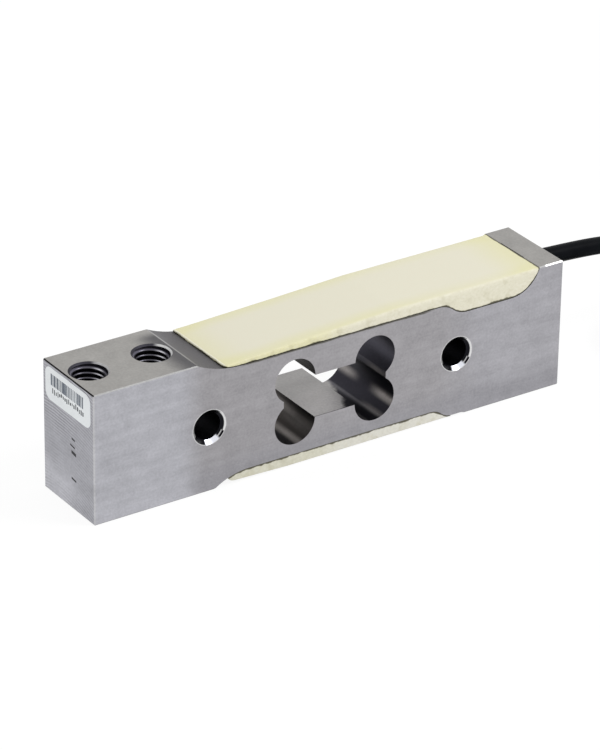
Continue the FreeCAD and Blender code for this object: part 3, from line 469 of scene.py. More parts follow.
def machined_aluminium():
    material, net, place = start_material("machined_aluminium")
    x, y, z = in_mm(net, place)
    masks = cut_masks((x, y, z), normal_parts(net))
    cloud = net.grain(place, 210, 3, 0.6)
    wipes = net.stretched(place, (45, 60, 520), 3)
    fine = net.grain(place, 1500, 1)
    noise_along_y = net.stretched(place, (230, 34, 230))
    lines = metal_grain(net, place, masks)
    ring, matt = chamfer_tone(x, z)
    ticks = end_ticks(x, y, z)
    tones = {
        **outer_tones(x, y, z),
        "floor": floor_tone(x, y, cloud),
        "lobes": lobe_tone(x, y, z, noise_along_y),
        # a painted highlight: a light ring round the mouth of each side hole
        "rim": 212,
        # painted shade: the bores and tapped holes are painted dark
        "bore": (40, 40, 46),
        "tapped": (52, 51, 58),
        "chamfer": ring,
        "sink": sink_tone(x, y),
        # a painted dark reflection on the load end's top edge break
        "painted_dark_edge": 28,
    }
    tone = paint(
        side_tone(x, z),
        *((masks[name], cut) for name, cut in tones.items()),
        # painted shade: a dark line on the sides where the resin meets the metal
        (masks["side"] * seam_shade(x, z, noise_along_y) * 0.8, (84, 82, 70)),
        (ticks * 0.95, 24),
    )
    rough_cut = 1 - masks["chamfer"]
    change = 0.36 * (cloud - 0.5) + 0.26 * (wipes - 0.5) + 0.3 * (fine - 0.5)
    change = change + (0.14 + 0.5 * masks["end"] + 0.4 * masks["ramp"]) * (lines - 0.5)
    shade = 1 + rough_cut * change
    inputs = {0: 1, 6: tone, 7: net.join(shade, shade, shade)}
    base = net.add("ShaderNodeMix", {"data_type": "RGBA", "blend_type": "MULTIPLY"}, inputs, 2)
    roughness = 0.34 + 0.12 * lines + 0.08 * cloud - 0.24 * masks["chamfer"]
    roughness = roughness + 0.24 * masks["edge"] * (x < 69) + 0.15 * masks["sink"]
    height = (lines * 0.7 + fine * 0.3) * rough_cut - ticks * 3
    metallic = 1 - 0.7 * masks["chamfer"] * matt
    return end_material(material, net, base, roughness, height, 0.25, Metallic=metallic)


dress("beam", machined_aluminium())

# %% [markdown]
# The world and one soft lamp light the object at a plain level. The camera, and glossy rays, see
# a white background: Light Path tells them apart from the rays that only carry light. The floor
# is mostly white to the camera and keeps a faint part of the object's shadow.


# %% World
WORLD_LIGHT = 0.72
FLOOR_SHADOW = 0.16  # how much of the floor's own shading the camera sees
FLOOR_GLOW = 1.06
FLOOR_SIZE = 6


def seen_directly(net):
    """1 for rays that show the background: those of the camera, of gloss and through glass."""
    kinds = ("Camera", "Glossy", "Transmission")
    camera, glossy, clear = [net.add("ShaderNodeLightPath", out=f"Is {kind} Ray") for kind in kinds]
    return net.maths("MINIMUM", camera + glossy + clear, 1)


world = bpy.data.worlds.new("white_world")
world.use_nodes = True
net = Net(world.node_tree)
background = next(n for n in net.tree.nodes if n.type == "BACKGROUND")
background.inputs["Color"].default_value = (1, 1, 1, 1)
strength = WORLD_LIGHT + (1 - WORLD_LIGHT) * seen_directly(net)
net.tree.links.new(strength.socket, background.inputs["Strength"])
bpy.context.scene.world = world

# %% Floor
bm = bmesh.new()
bmesh.ops.create_grid(bm, x_segments=1, y_segments=1, size=FLOOR_SIZE / 2)
mesh = bpy.data.meshes.new("floor")
bm.to_mesh(mesh)
bm.free()
floor = link("floor", mesh)
material, net, _ = start_material("white_floor")
net.tree.nodes.clear()
matt = net.add("ShaderNodeBsdfDiffuse", {}, {"Color": linear(244)})
glow = net.add("ShaderNodeEmission", {}, {"Color": (1, 1, 1, 1), "Strength": FLOOR_GLOW})
share = seen_directly(net) * (1 - FLOOR_SHADOW)
mixed = net.add("ShaderNodeMixShader", {}, {0: share, 1: matt, 2: glow})
net.add("ShaderNodeOutputMaterial", {}, {"Surface": mixed})
mesh.materials.append(material)

# %% [markdown]
# The lamp is a softbox above and to the right. The chamfers at the bottom of the side holes face
# it, which gives a white glint that shows how smooth they are; the chamfers' colour adds a painted
# glint there too.

# %% Lamp
LAMP_DIRECTION = Vector((0.50, -0.46, 0.735))
LAMP_DISTANCE, LAMP_SIDE, LAMP_POWER = 0.9, 0.30, 2.6

softbox = bpy.data.lights.new("softbox", "AREA")
softbox.shape, softbox.size, softbox.energy = "SQUARE", LAMP_SIDE, LAMP_POWER
lamp = link("softbox", softbox)
lamp.location = CAMERA_TARGET + LAMP_DIRECTION.normalized() * LAMP_DISTANCE
lamp.rotation_mode = "QUATERNION"
lamp.rotation_quaternion = (-LAMP_DIRECTION).to_track_quat("-Z", "Y")

# %% [markdown]
# Geometry Nodes make what follows a rule: screw threads, printed bars, a strap round a path. Each
# tree has named inputs. The helper below gives a tree a host object, sets the inputs by their
# identifiers, bakes the result into a plain mesh and takes the modifier away.


# %% Geometry Nodes helpers
SOCKET_KINDS = {
    float: "NodeSocketFloat",
    int: "NodeSocketInt",
    Vector: "NodeSocketVector",
    bpy.types.Material: "NodeSocketMaterial",
}


def start_tree(name, sizes):
    """A geometry tree, with its host's geometry and one port for each named size."""
    tree = bpy.data.node_groups.new(name, "GeometryNodeTree")
    for way in ("OUTPUT", "INPUT"):
        tree.interface.new_socket(name="Geometry", in_out=way, socket_type="NodeSocketGeometry")
    for label, value in sizes.items():
        tree.interface.new_socket(name=label, in_out="INPUT", socket_type=SOCKET_KINDS[type(value)])
    entry = tree.nodes.new("NodeGroupInput")
    net = Net(tree)
    ports = {label: Port(net, entry.outputs[label]) for label in ["Geometry", *sizes]}
    return net, ports


def end_tree(net, geometry, material):
    """Realizes what is instanced, sets the material and closes the tree."""
    real = net.geo("RealizeInstances", Geometry=geometry)
    painted = net.geo("SetMaterial", Geometry=real, Material=material)
    net.add("NodeGroupOutput", {}, {"Geometry": painted})
    return net.tree


def placed(name, mesh):
    """An object for a finished mesh, riding on the part's one body."""
    mesh.name = name
    piece = link(name, mesh)
    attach(piece, "root")
    print(name, "has", len(mesh.polygons), "faces")
    return piece


def baked(thing):
    """The mesh of an object as it is evaluated. The object itself goes."""
    graph = bpy.context.evaluated_depsgraph_get()
    mesh = bpy.data.meshes.new_from_object(thing.evaluated_get(graph))
    bpy.data.objects.remove(thing)
    return mesh


def grow(name, tree, sizes, host=None):
    """A plain mesh object, made by a geometry tree from its sizes and its host's data."""
    seed = link(f"{name}_host", host or bpy.data.meshes.new(f"{name}_host"))
    modifier = seed.modifiers.new("rule", "NODES")
    modifier.node_group = tree
    for item in tree.interface.items_tree:
        if item.in_out == "INPUT" and item.name in sizes:
            modifier[item.identifier] = sizes[item.name]
    return placed(name, baked(seed))


# %% [markdown]
# The tapped holes. CAD holds them at the thread's full diameter, so the ridges are added here. A
# trapezoid is swept along a straight line, which is easy to get right, and Set Position then winds
# that line into a helix: the height along the line becomes an angle and a depth. Near the mouth
# the ridge is cut back by the countersink's cone, as a real one is.

# %% Thread sizes and metal
THREAD = {
    "Pitch": 1.5 * MM,
    "Wall Radius": TAPPED_RADIUS + 0.03 * MM,
    "Crest Radius": 4.2 * MM,
    "Crest Width": 0.3 * MM,
    "Sink Radius": SINK_RADIUS,
    "First Depth": -0.25 * MM,
    "First Angle": math.radians(109),
    "Depth": 15 * MM,
    "Steps": 440,
    "Spacing": TAPPED_SPACING,
}


def thread_metal():
    """Painted shade between the ridges and deeper down, lighter crests near the mouth, a painted
    highlight on the crests where the wall turns to the bar's middle, and a soft painted
    reflection near the mouth.
    """
    material, net, place = start_material("thread_metal")
    x, y, z = in_mm(net, place)
    radius, along, _ = tapped_place(x, y)
    depth = net.maths("MINIMUM", TOP - z, z)
    crest = radius.drop(4.26, 4.6) * depth.drop(4.5, 9)
    # a soft painted reflection near the mouth, mostly on the side away from the bar's middle
    soft_reflection = (0 - along).rise(-0.3, 0.6) * depth.drop(1.5, 4)
    spark = (y / radius).band(0.33, 0.5) * (along > 0) * crest
    base = paint(
        (70, 68, 78),
        (soft_reflection, (96, 94, 106)),
        (crest, (92, 91, 98)),
        (spark, (206, 206, 212)),
    )
    cuts = net.stretched(place, (500, 500, 4000))
    return end_material(material, net, base, 0.26 + 0.14 * cuts, cuts, 0.2, Metallic=1)


# %% Thread tree
def thread_tree(sizes):
    net, given = start_tree("tapped_thread", sizes)
    wall, crest = given["Wall Radius"], given["Crest Radius"]
    line = net.geo("CurvePrimitiveLine", Start=Vector((0, 0, 0)), End=Vector((0, 0, 1)))
    line = net.geo("ResampleCurve", Curve=line, Count=given["Steps"])
    ridge = net.geo(
        "CurvePrimitiveQuadrilateral",
        {"mode": "TRAPEZOID"},
        Bottom_Width=given["Pitch"] * 0.96,
        Top_Width=given["Crest Width"],
        Height=wall - crest,
        Offset=0,
    )
    bar = net.geo("CurveToMesh", Curve=line, Profile_Curve=ridge, Fill_Caps=True)
    width, out, share = net.split(net.geo("InputPosition"))
    length = given["Depth"] - given["First Depth"]
    depth = given["First Depth"] + share * length - width
    depth = net.maths("MAXIMUM", depth, given["Sink Radius"] - wall)
    radius = net.maths("MAXIMUM", (wall + crest) / 2 - out, given["Sink Radius"] - depth)
    angle = given["First Angle"] - share * length / given["Pitch"] * (2 * math.pi)
    x, y = radius * net.maths("COSINE", angle), radius * net.maths("SINE", angle)
    wound = net.geo("SetPosition", Geometry=bar, Position=net.join(x, y, 0 - depth))
    wound = net.geo("MergeByDistance", Geometry=wound, Distance=0.001 * MM)
    offset = net.join(given["Spacing"], 0, 0)
    places = net.geo("MeshLine", Count=2, Start_Location=given["First Hole"], Offset=offset)
    pair = net.geo("InstanceOnPoints", Points=places, Instance=wound, Rotation=given["Turn"])
    return end_tree(net, pair, given["Metal"])


THREAD["Metal"] = thread_metal()
THREAD["First Hole"] = Vector((TAPPED_EDGE - HALF_LENGTH, 0, HEIGHT))
THREAD["Turn"] = Vector((0, 0, 0))
thread_rule = thread_tree(THREAD)
threads = grow("load_hole_threads", thread_rule, THREAD)
THREAD["First Hole"] = Vector((HALF_LENGTH - TAPPED_EDGE - TAPPED_SPACING, 0, 0))
THREAD["Turn"] = Vector((math.pi, 0, 0))
threads = grow("base_hole_threads", thread_rule, THREAD)

# %% [markdown]
# The resin. It was poured between two plates and trimmed flush with the bar's sides, so its sides
# are a little torn and there is a thin gap where it meets the metal, painted dark as shade. The
# mesh
# is lofted in code: at each station along the bar a ring of points follows the recess floor, the
# trimmed side, the soft upper edge and the surface. An attribute says how far each point is from
# the metal.


# %% Resin outlines
def arc_run(radius, height):
    """The length along the bar of an arc that leaves a level floor and climbs to a height."""
    return math.sqrt(2 * radius * height - height**2)


TOP_FLOOR, POCKET_FLOOR = HEIGHT - RECESS_DEPTH, HEIGHT - POCKET_DEPTH
RAMP_RADIUS, WALL_RADIUS, UNDER_RAMP_RADIUS = 30 * MM, 9.9 * MM, 20 * MM
RAMP_FOOT = LOAD_LAND_END + arc_run(RAMP_RADIUS, RECESS_DEPTH)
WALL_TOP = HALF_LENGTH - 8 * MM
WALL_FOOT = WALL_TOP - arc_run(WALL_RADIUS, POCKET_DEPTH)
STEP_FOOT = WALL_FOOT - 14.5 * MM
STEP_RUN = 9.7 * MM
UNDER_DEPTH, UNDER_SHELF = 3.4 * MM, 0.55 * MM
UNDER_RAMP_TOP = -HALF_LENGTH + 36.8 * MM
UNDER_FOOT = UNDER_RAMP_TOP + arc_run(UNDER_RAMP_RADIUS, UNDER_DEPTH)
UNDER_STEP = HALF_LENGTH - 43.5 * MM
UNDER_STEP_RUN = 7.5 * MM


def clamp(share):
    return min(max(share, 0), 1)


def smooth_step(share):
    """The height of two equal arcs that join level ends, as a share of the step."""
    share = clamp(share)
    return 2 * share * share if share < 0.5 else 1 - 2 * (1 - share) ** 2


def arc_rise(distance, radius):
    return radius - math.sqrt(max(radius**2 - distance**2, 0))


def upper_floor(x):
    """Height of the upper recess's floor."""
    if x < RAMP_FOOT:
        return TOP_FLOOR + arc_rise(RAMP_FOOT - x, RAMP_RADIUS)
    if x < STEP_FOOT:
        share = smooth_step((x - STEP_FOOT + STEP_RUN) / STEP_RUN)
        return TOP_FLOOR - (TOP_FLOOR - POCKET_FLOOR) * share
    return POCKET_FLOOR + arc_rise(max(x - WALL_FOOT, 0), WALL_RADIUS)


def lower_floor(x):
    """Depth of the lower recess's floor."""
    if x < UNDER_FOOT:
        return UNDER_DEPTH - arc_rise(UNDER_FOOT - x, UNDER_RAMP_RADIUS)
    share = smooth_step((x - UNDER_STEP) / UNDER_STEP_RUN)
    return UNDER_DEPTH - (UNDER_DEPTH - UNDER_SHELF) * share


# %% Resin loft
EDGE_ROWS = [0, 0.14, 0.3, 0.55]  # millimetres from the metal, up the trimmed side
WALL_SHARES = (0.55, 0.8, 1)
EDGE_REACH = 0.3 * MM  # how far up the side the gap at the metal reaches
CORNER_STEPS, CROWN_STEPS, FINE_STEPS = 4, 24, 10
STATION = 0.45 * MM
THIN = 0.02 * MM  # the least thickness, and the resin's distance from the bar's sides


def tear(x, height, side, depth):
    """How far the trimmed side is pulled in at a point: more in a few torn places."""
    place = Vector((x / MM * 0.9, side * 7, height / MM * 1.3))
    torn = max(noise.noise(place) - 0.18, 0) * 0.9 + 0.12 * noise.noise(place * 3.1)
    return depth * max(torn + 0.1, 0)


def ripple(x, y):
    """How far the resin's first edge wanders from a straight line, at a place across the bar."""
    fade = max(1 - (x - POT_START) / (2 * MM), 0)
    return 0.16 * MM * fade * noise.noise(Vector((y / MM * 0.45, 7, 0)))


def section(x, metal, surface, halves, corner, gap):
    """One ring of the loft: from the metal up one side, over the surface and down the other."""
    thick = abs(surface - metal)
    up = 1 if surface > metal else -1
    corner = min(corner, 0.42 * thick)
    wall = thick - corner
    rows = [min(row * MM, 0.9 * wall) for row in EDGE_ROWS]
    rows = sorted(rows + [wall * share for share in WALL_SHARES])
    columns = []
    for side, half in zip((-1, 1), halves):
        column = []
        for row in rows:
            torn = tear(x, row, side, 0.12 * MM) * (1 - row / thick)
            pull = gap * max(1 - row / EDGE_REACH, 0) + torn
            column.append((side * (half - min(pull, half * 0.5)), metal + up * row, row))
        for step in range(1, CORNER_STEPS + 1):
            angle = math.radians(90 * step / CORNER_STEPS)
            inset, lift = corner * (1 - math.cos(angle)), corner * math.sin(angle)
            column.append((side * (half - inset), metal + up * (wall + lift), thick))
        columns.append(column)
    crown = []
    near, far = corner - halves[0], halves[1] - corner
    for step in range(1, CROWN_STEPS):
        y = near + (far - near) * step / CROWN_STEPS
        sag = 0.05 * MM * noise.noise(Vector((x / MM * 0.06, y / MM * 0.2, 3)))
        crown.append((y, surface + sag, thick))
    ring = columns[0] + crown + columns[1][::-1]
    return [(Vector((x + ripple(x, y), y, z)), away) for y, z, away in ring]


def loft(name, rings):
    """Joins rings into a closed mesh, with each point's distance from the metal as an attribute."""
    bm = bmesh.new()
    away = bm.verts.layers.float.new("from_metal")
    rows = []
    for ring in rings:
        rows.append([bm.verts.new(place) for place, _ in ring])
        for vertex, (_, distance) in zip(rows[-1], ring):
            vertex[away] = distance / MM
    for one, two in zip(rows, rows[1:]):
        for step in range(len(one)):
            following = (step + 1) % len(one)
            bm.faces.new((one[step], one[following], two[following], two[step]))
    bm.faces.new(rows[0])
    bm.faces.new(rows[-1])
    bmesh.ops.remove_doubles(bm, verts=bm.verts, dist=0.004 * MM)
    bmesh.ops.dissolve_degenerate(bm, edges=bm.edges, dist=0.002 * MM)
    bmesh.ops.recalc_face_normals(bm, faces=bm.faces)
    mesh = bpy.data.meshes.new(name)
    bm.to_mesh(mesh)
    bm.free()
    mesh.shade_smooth()
    return placed(name, mesh)


def spread(low, high, fine_low, fine_high):
    """Stations along the bar, closer together near both ends."""
    first, last = low + fine_low, high - fine_high
    count = round((last - first) / STATION)
    squares = [(step / FINE_STEPS) ** 2 for step in range(FINE_STEPS)]
    stations = [low + fine_low * square for square in squares]
    stations += [first + (last - first) * step / count for step in range(count + 1)]
    return stations + [high - fine_high * square for square in reversed(squares)]


# %% Upper resin
POT_START = LOAD_LAND_END + 8.6 * MM
POT_SURFACE = HEIGHT - 0.12 * MM
POT_FULL = -HALF_LENGTH + 94 * MM
POT_END = WALL_TOP - 0.07 * MM
PLAN_CORNER = 1.2 * MM  # rounding of the first near corner, seen from above
LIP_HEIGHT, LIP_ROUND = 0.6 * MM, 0.3 * MM


def upper_surface(x):
    """Height of the resin's surface: a rounded lip, a slow climb and then level."""
    lip = upper_floor(POT_START) + LIP_HEIGHT
    share = min((x - POT_START) / (POT_FULL - POT_START), 1)
    start = min((x - POT_START) / LIP_ROUND, 1)
    return lip + (POT_SURFACE - lip) * share - arc_rise((1 - start) * LIP_ROUND, LIP_ROUND)


def upper_ring(x):
    """The upper resin's ring at one station. Only its near side is rounded at the start."""
    metal = min(upper_floor(x), POT_SURFACE - THIN)
    surface = max(upper_surface(x), metal + THIN)
    short = PLAN_CORNER - min(max(x - POT_START, 0), PLAN_CORNER)
    half = HALF_WIDTH - THIN
    halves = half - arc_rise(short, PLAN_CORNER), half
    return section(x, metal, surface, halves, 1 * MM, 0.22 * MM)


# %% Lower resin
UNDER_POT_START = UNDER_RAMP_TOP + 4.6 * MM
UNDER_POT_END = UNDER_STEP + UNDER_STEP_RUN - 0.5 * MM
UNDER_POT_FULL = -HALF_LENGTH + 60 * MM
UNDER_FIRST, UNDER_LAST, UNDER_LIP = 0.9 * MM, 0.3 * MM, 1.2 * MM


def lower_surface(x):
    """Height of the lower resin's face over the surface that the bar rests on."""
    start = min((x - UNDER_POT_START) / (2 * MM), 1)
    slow = clamp((x - UNDER_POT_START) / (UNDER_POT_FULL - UNDER_POT_START))
    level = UNDER_FIRST + (UNDER_LAST - UNDER_FIRST) * slow
    return level + UNDER_LIP * (1 - math.sqrt(1 - (1 - start) ** 2))


def lower_ring(x):
    metal = lower_floor(x)
    surface = min(lower_surface(x), metal - THIN)
    return section(x, metal, surface, [HALF_WIDTH - THIN] * 2, 0.25 * MM, 0.2 * MM)


# %% [markdown]
# The resin's finish: a waxy cream, yellower near its edges where it is thin, and paler and rough
# where its sides were trimmed. The attribute draws a dark olive line of painted shade in the gap at
# the metal, and two noises make its edge uneven. A painted highlight runs along the resin's first
# edge.


# %% Resin material
def cast_resin(name, body_tone, edge_tone, side_cream):
    material, net, place = start_material(name)
    x, y, z = in_mm(net, place)
    _, ny, nz = normal_parts(net)
    away = net.add("ShaderNodeAttribute", {"attribute_name": "from_metal"}, {}, "Fac")
    cloud = net.grain(place, 55, 3)
    wander = net.grain(place, 330)
    fine = net.grain(place, 900)
    specks = net.stretched(place, (1100, 400, 1500))
    ragged = net.stretched(place, (900, 100, 1100), 3)
    first, last = POT_START / MM, POT_END / MM
    near_side = (abs(y) + 2.5 * cloud).rise(SIDE - 4.5, SIDE + 0.5)
    near_side = near_side * (0.75 - 0.35 * x.rise(12, 34))
    near_start = (x + 5 * cloud).drop(first - 1, first + 14)
    near_end = (x - 4 * cloud).rise(last - 16, last - 2)
    edge = net.maths("MINIMUM", near_side + near_start * 0.75 + near_end * 0.85, 1)
    trimmed = abs(ny).rise(0.2, 0.95)
    # a painted highlight along the resin's first edge, on its upward faces
    lip = x.drop(first + 0.35, first + 0.6) * (nz > 0.2)
    # painted shade: the gap at the metal and at the wall by the cable end is painted dark olive
    seam = away + 1.1 * (wander - 0.5) + 0.5 * (ragged - 0.5)
    seam = seam - 0.22 * x.rise(30, 42) - 0.16 * (z < 10)
    shore = (x + 0.5 * (wander - 0.5)).rise(last - 0.5, last - 0.25)
    gap = net.maths("MAXIMUM", seam.drop(0.14, 0.46), shore * (z > TOP / 2))
    tone = paint(
        body_tone,
        (edge, edge_tone),
        (trimmed, blend(x.rise(-8, 6), edge_tone, side_cream)),
        (trimmed * ragged.rise(0.5, 0.7) * 0.3, (240, 237, 220)),
        (trimmed * specks.rise(0.5, 0.66) * 0.2, (246, 243, 228)),
        (trimmed * specks.drop(0.34, 0.46) * 0.14, (196, 189, 160)),
        (trimmed * wander.drop(0.3, 0.5) * 0.3, (190, 184, 152)),
        (lip * 0.8, (244, 241, 222)),
        (gap * 0.94, (72, 69, 48)),
    )
    roughness = 0.42 + 0.16 * fine + 0.1 * trimmed
    height = cloud * 0.5 + fine * 0.2 + trimmed * ragged * 1.6
    return end_material(material, net, tone, roughness, height, 0.4)


stations = spread(POT_START, POT_END, 1.6 * MM, 1.5 * MM)
upper = loft("upper_resin", [upper_ring(x) for x in stations])
cream = cast_resin("cast_resin", (231, 227, 206), (229, 225, 182), (230, 226, 204))
upper.data.materials.append(cream)
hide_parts("potting_top")
stations = spread(UNDER_POT_START, UNDER_POT_END, 2 * MM, 1 * MM)
lower = loft("lower_resin", [lower_ring(x) for x in stations])
pale_cream = (227, 225, 215)
cream = cast_resin("lower_cast_resin", pale_cream, (220, 218, 200), pale_cream)
lower.data.materials.append(cream)
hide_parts("potting_under")

# %% [markdown]
# The cable is one NURBS curve. Its first points are listed: level out of the bore, then a slow
# fall to the surface that the cell stands on. The length that nobody needs is folded into a flat
# hank of two layers: inwards on the lower one, and back out on the upper one. A short loop works
# the folds out. Each is 12 points on a half circle, set so that the curve touches the circle.

# %% Cable route
CABLE_RADIUS = 2.5 * MM
CABLE_EXIT = Vector((HALF_LENGTH, 0, HEIGHT - 4.7 * MM))
LANE, LAYER, TIE_THICKNESS = 5.1 * MM, 5.2 * MM, 1 * MM
FOLD_RADIUS = 15 * MM  # the cable's middle line in the tightest fold
HANK_LEFT = HALF_LENGTH + 46.5 * MM
HANK_RIGHT = HANK_LEFT + 42 * MM
HANK_Y = HALF_WIDTH - FOLD_RADIUS - 2 * LANE - CABLE_RADIUS
TAIL_LANE_Y = HANK_Y - FOLD_RADIUS - 1.5 * LANE
LOWEST_TURN = TIE_THICKNESS + LAYER / 2
CABLE_JOIN = Vector((HANK_RIGHT, HANK_Y + FOLD_RADIUS + 2 * LANE, LOWEST_TURN))
CABLE_ROUTE = [  # shares of the way to the hank: along, across and height
    (0.147, 0.00, 0.980),
    (0.288, 0.01, 0.936),
    (0.429, 0.12, 0.835),
    (0.554, 0.44, 0.655),
    (0.667, 0.82, 0.430),
    (0.780, 1.01, 0.210),
    (0.895, 1.03, 0.055),
    (1.011, 1.00, 0.003),
]
# The lane of each run in turn, 0 for the innermost, and its layer.
RUNS = [(2, 0), (1.5, 0), (1, 0), (0.5, 0), (0, 0), (0.2, 1), (1, 1), (1.5, 1)]
FOLD_STEPS = 12
RUN_STOPS = (3, 15, 27, 39)  # millimetres along a run
SLEEVE_RADIUS, SLEEVE_LENGTH, TAIL_START = 2.9 * MM, 9 * MM, 3 * MM


def fold_points(number, before, after):
    """The points of one half turn, at the far end for even numbers and the near end for odd."""
    far = number % 2 == 0
    half_step = math.radians(90 / FOLD_STEPS)
    points = []
    for step in range(FOLD_STEPS):
        share = (step + 0.5) / FOLD_STEPS
        angle = math.pi * ((0.5 if far else 1.5) - share)
        lane = before[0] + (after[0] - before[0]) * share
        layer = before[1] + (after[1] - before[1]) * smooth_step(1.5 * share)
        radius = (FOLD_RADIUS + lane * LANE) / math.cos(half_step)
        x = (HANK_RIGHT if far else HANK_LEFT) + radius * math.cos(angle)
        points.append(Vector((x, HANK_Y + radius * math.sin(angle), LOWEST_TURN + layer * LAYER)))
    return points


def run_points(number, lane, layer):
    """The points of the straight run after a fold."""
    heading = -1 if number % 2 == 0 else 1
    begin = HANK_RIGHT if heading < 0 else HANK_LEFT
    y, z = HANK_Y + heading * (FOLD_RADIUS + lane * LANE), LOWEST_TURN + layer * LAYER
    return [Vector((begin + heading * stop * MM, y, z)) for stop in RUN_STOPS]


def cable_points():
    way = CABLE_JOIN - CABLE_EXIT
    points = [CABLE_EXIT]
    for along, across, share in CABLE_ROUTE:
        height = CABLE_JOIN.z - share * way.z
        points.append(Vector((HALF_LENGTH + along * way.x, across * CABLE_JOIN.y, height)))
    for number, (before, after) in enumerate(zip(RUNS, RUNS[1:])):
        points += fold_points(number, before, after)
        if number < len(RUNS) - 2:
            points += run_points(number, *after)
    level = LOWEST_TURN + LAYER + SLEEVE_RADIUS - CABLE_RADIUS
    stops = (TAIL_START - 1 * MM, TAIL_START + 6 * MM)
    return points + [Vector((HANK_RIGHT - stop, TAIL_LANE_Y, level)) for stop in stops]


def curve(name, kind, points):
    """Curve data with one spline through the points."""
    data = bpy.data.curves.new(name, "CURVE")
    data.dimensions = "3D"
    spline = data.splines.new(kind)
    spline.points.add(len(points) - 1)
    for point, place in zip(spline.points, points):
        point.co = (*place, 1)
    return data, spline


def nurbs(name, points, radius):
    """Curve data with one open NURBS spline, as thick as its radius says."""
    data, spline = curve(name, "NURBS", points)
    data.bevel_depth, data.bevel_resolution, data.use_fill_caps = radius, 5, True
    spline.order_u, spline.use_endpoint_u, spline.resolution_u = 3, True, 6
    return data


def line_length(data):
    """The length of a curve's own line, measured on its evaluated points."""
    bare = data.copy()
    bare.bevel_depth = 0
    places = [vertex.co for vertex in baked(link("probe", bare)).vertices]
    return sum((after - before).length for before, after in zip(places, places[1:]))


# %% [markdown]
# Plain pieces share one recipe. A plastic has its colour, a soft change of tone, a fine grain in
# its roughness and a small bump, so that it doesn't look like a flat fill.


# %% Plastics and small metals
def plastic(name, tone, roughness, grain_size=900, change=0.18, bump=0.12, **fixed):
    material, net, place = start_material(name)
    cloud = net.grain(place, 120, 3)
    fine = net.grain(place, grain_size)
    parts = linear(tone)[:3]
    darker = (*(part * (1 - change) for part in parts), 1)
    lighter = (*(min(part * (1 + change) + 0.002, 1) for part in parts), 1)
    base = blend(cloud.rise(0.35, 0.65), darker, lighter)
    shine = roughness - 0.06 + 0.12 * fine
    return end_material(material, net, base, shine, fine * 0.6 + cloud * 0.4, bump, **fixed)


JACKET = plastic("cable_jacket", (3, 5, 10), 0.45, 1400, 0.15, 0.1, Specular_IOR_Level=0.05)
TIE_NYLON = plastic("tie_nylon", (30, 30, 31), 0.38, 700)
SLEEVE = plastic("shrink_sleeve", (22, 22, 23), 0.5, 600)
TINNED = plastic("tinned_copper", (186, 184, 178), 0.28, 2600, 0.1, 0.3, Metallic=1)
CORE_PLASTICS = {
    name: plastic(f"core_{name}_plastic", tone, 0.32)
    for name, tone in {
        "red": (190, 34, 30),
        "black": (24, 24, 25),
        "green": (34, 132, 62),
        "white": (226, 226, 220),
    }.items()
}

# %% Cable
cable_line = nurbs("cable_and_hank", cable_points(), CABLE_RADIUS)
cable_line.materials.append(JACKET)
CABLE_LENGTH = line_length(cable_line)
cable = link("cable_and_hank", cable_line)
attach(cable, "root")
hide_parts("cable", "cable_hank")
print("cable length, m:", round(CABLE_LENGTH, 4))

# %% [markdown]
# The stripped end: four insulated cores and a drain wire leave the sleeve, fan out a little and
# lie on the hank. One tree makes them all from a path. It trims the path into an insulated part
# and a bare tip, and sweeps a circle of its own radius along each.

# %% Stripped end
TAIL_BENDS = (8.5 * MM, 15.3 * MM, 21.6 * MM)
TAIL_STRAIGHT, TAIL_FAN, TAIL_STAGGER = 2.5 * MM, 2.2 * MM, 1.1 * MM
CORE_RADIUS, DRAIN_RADIUS, TIP_RADIUS = 0.55 * MM, 0.35 * MM, 0.3 * MM
CORE_SQUARE = CABLE_RADIUS * 0.38
CORES = [  # name, place across and up in the jacket, share of the fan
    ("red", -1, 1, -1),
    ("black", -1, -1, -0.34),
    ("green", 1, -1, 0.34),
    ("white", 1, 1, 1),
    ("drain", 0, 0, 0),
]
SLEEVE_LEVEL = TIE_THICKNESS + LAYER + SLEEVE_RADIUS
SLEEVE_MOUTH = Vector((HANK_RIGHT - TAIL_START - SLEEVE_LENGTH, TAIL_LANE_Y, SLEEVE_LEVEL))


def tail_path(order, across, up, share, radius, rest):
    """The points of one core from the sleeve's mouth to its tip."""
    across, up = across * CORE_SQUARE, up * CORE_SQUARE
    fan, lie = share * TAIL_FAN, radius + rest - SLEEVE_RADIUS
    sink, lay, stop = TAIL_BENDS
    offsets = [
        (0, across, up),
        (TAIL_STRAIGHT, across, up),
        (sink, (across + fan) / 2, (lie + up) / 2),
        (lay, fan, lie),
        (stop + TAIL_STAGGER * order, fan, lie),
    ]
    return [SLEEVE_MOUTH + Vector((-along, side, rise)) for along, side, rise in offsets]


def core_tree(sizes):
    net, given = start_tree("stripped_core", sizes)
    parts = []
    for start, stop, thick, finish in (
        (0, given["Insulated"], given["Radius"], given["Insulation"]),
        (given["Insulated"], 1, given["Tip Radius"], given["Strands"]),
    ):
        inputs = {0: given["Geometry"], 2: start, 3: stop}
        trimmed = net.add("GeometryNodeTrimCurve", {"mode": "FACTOR"}, inputs)
        rim = net.geo("CurvePrimitiveCircle", Resolution=20, Radius=thick)
        swept = net.geo("CurveToMesh", Curve=trimmed, Profile_Curve=rim, Fill_Caps=True)
        parts.append(net.geo("SetMaterial", Geometry=swept, Material=finish))
    joined = net.geo("JoinGeometry", Geometry=parts)
    real = net.geo("RealizeInstances", Geometry=joined)
    net.add("NodeGroupOutput", {}, {"Geometry": real})
    return net.tree


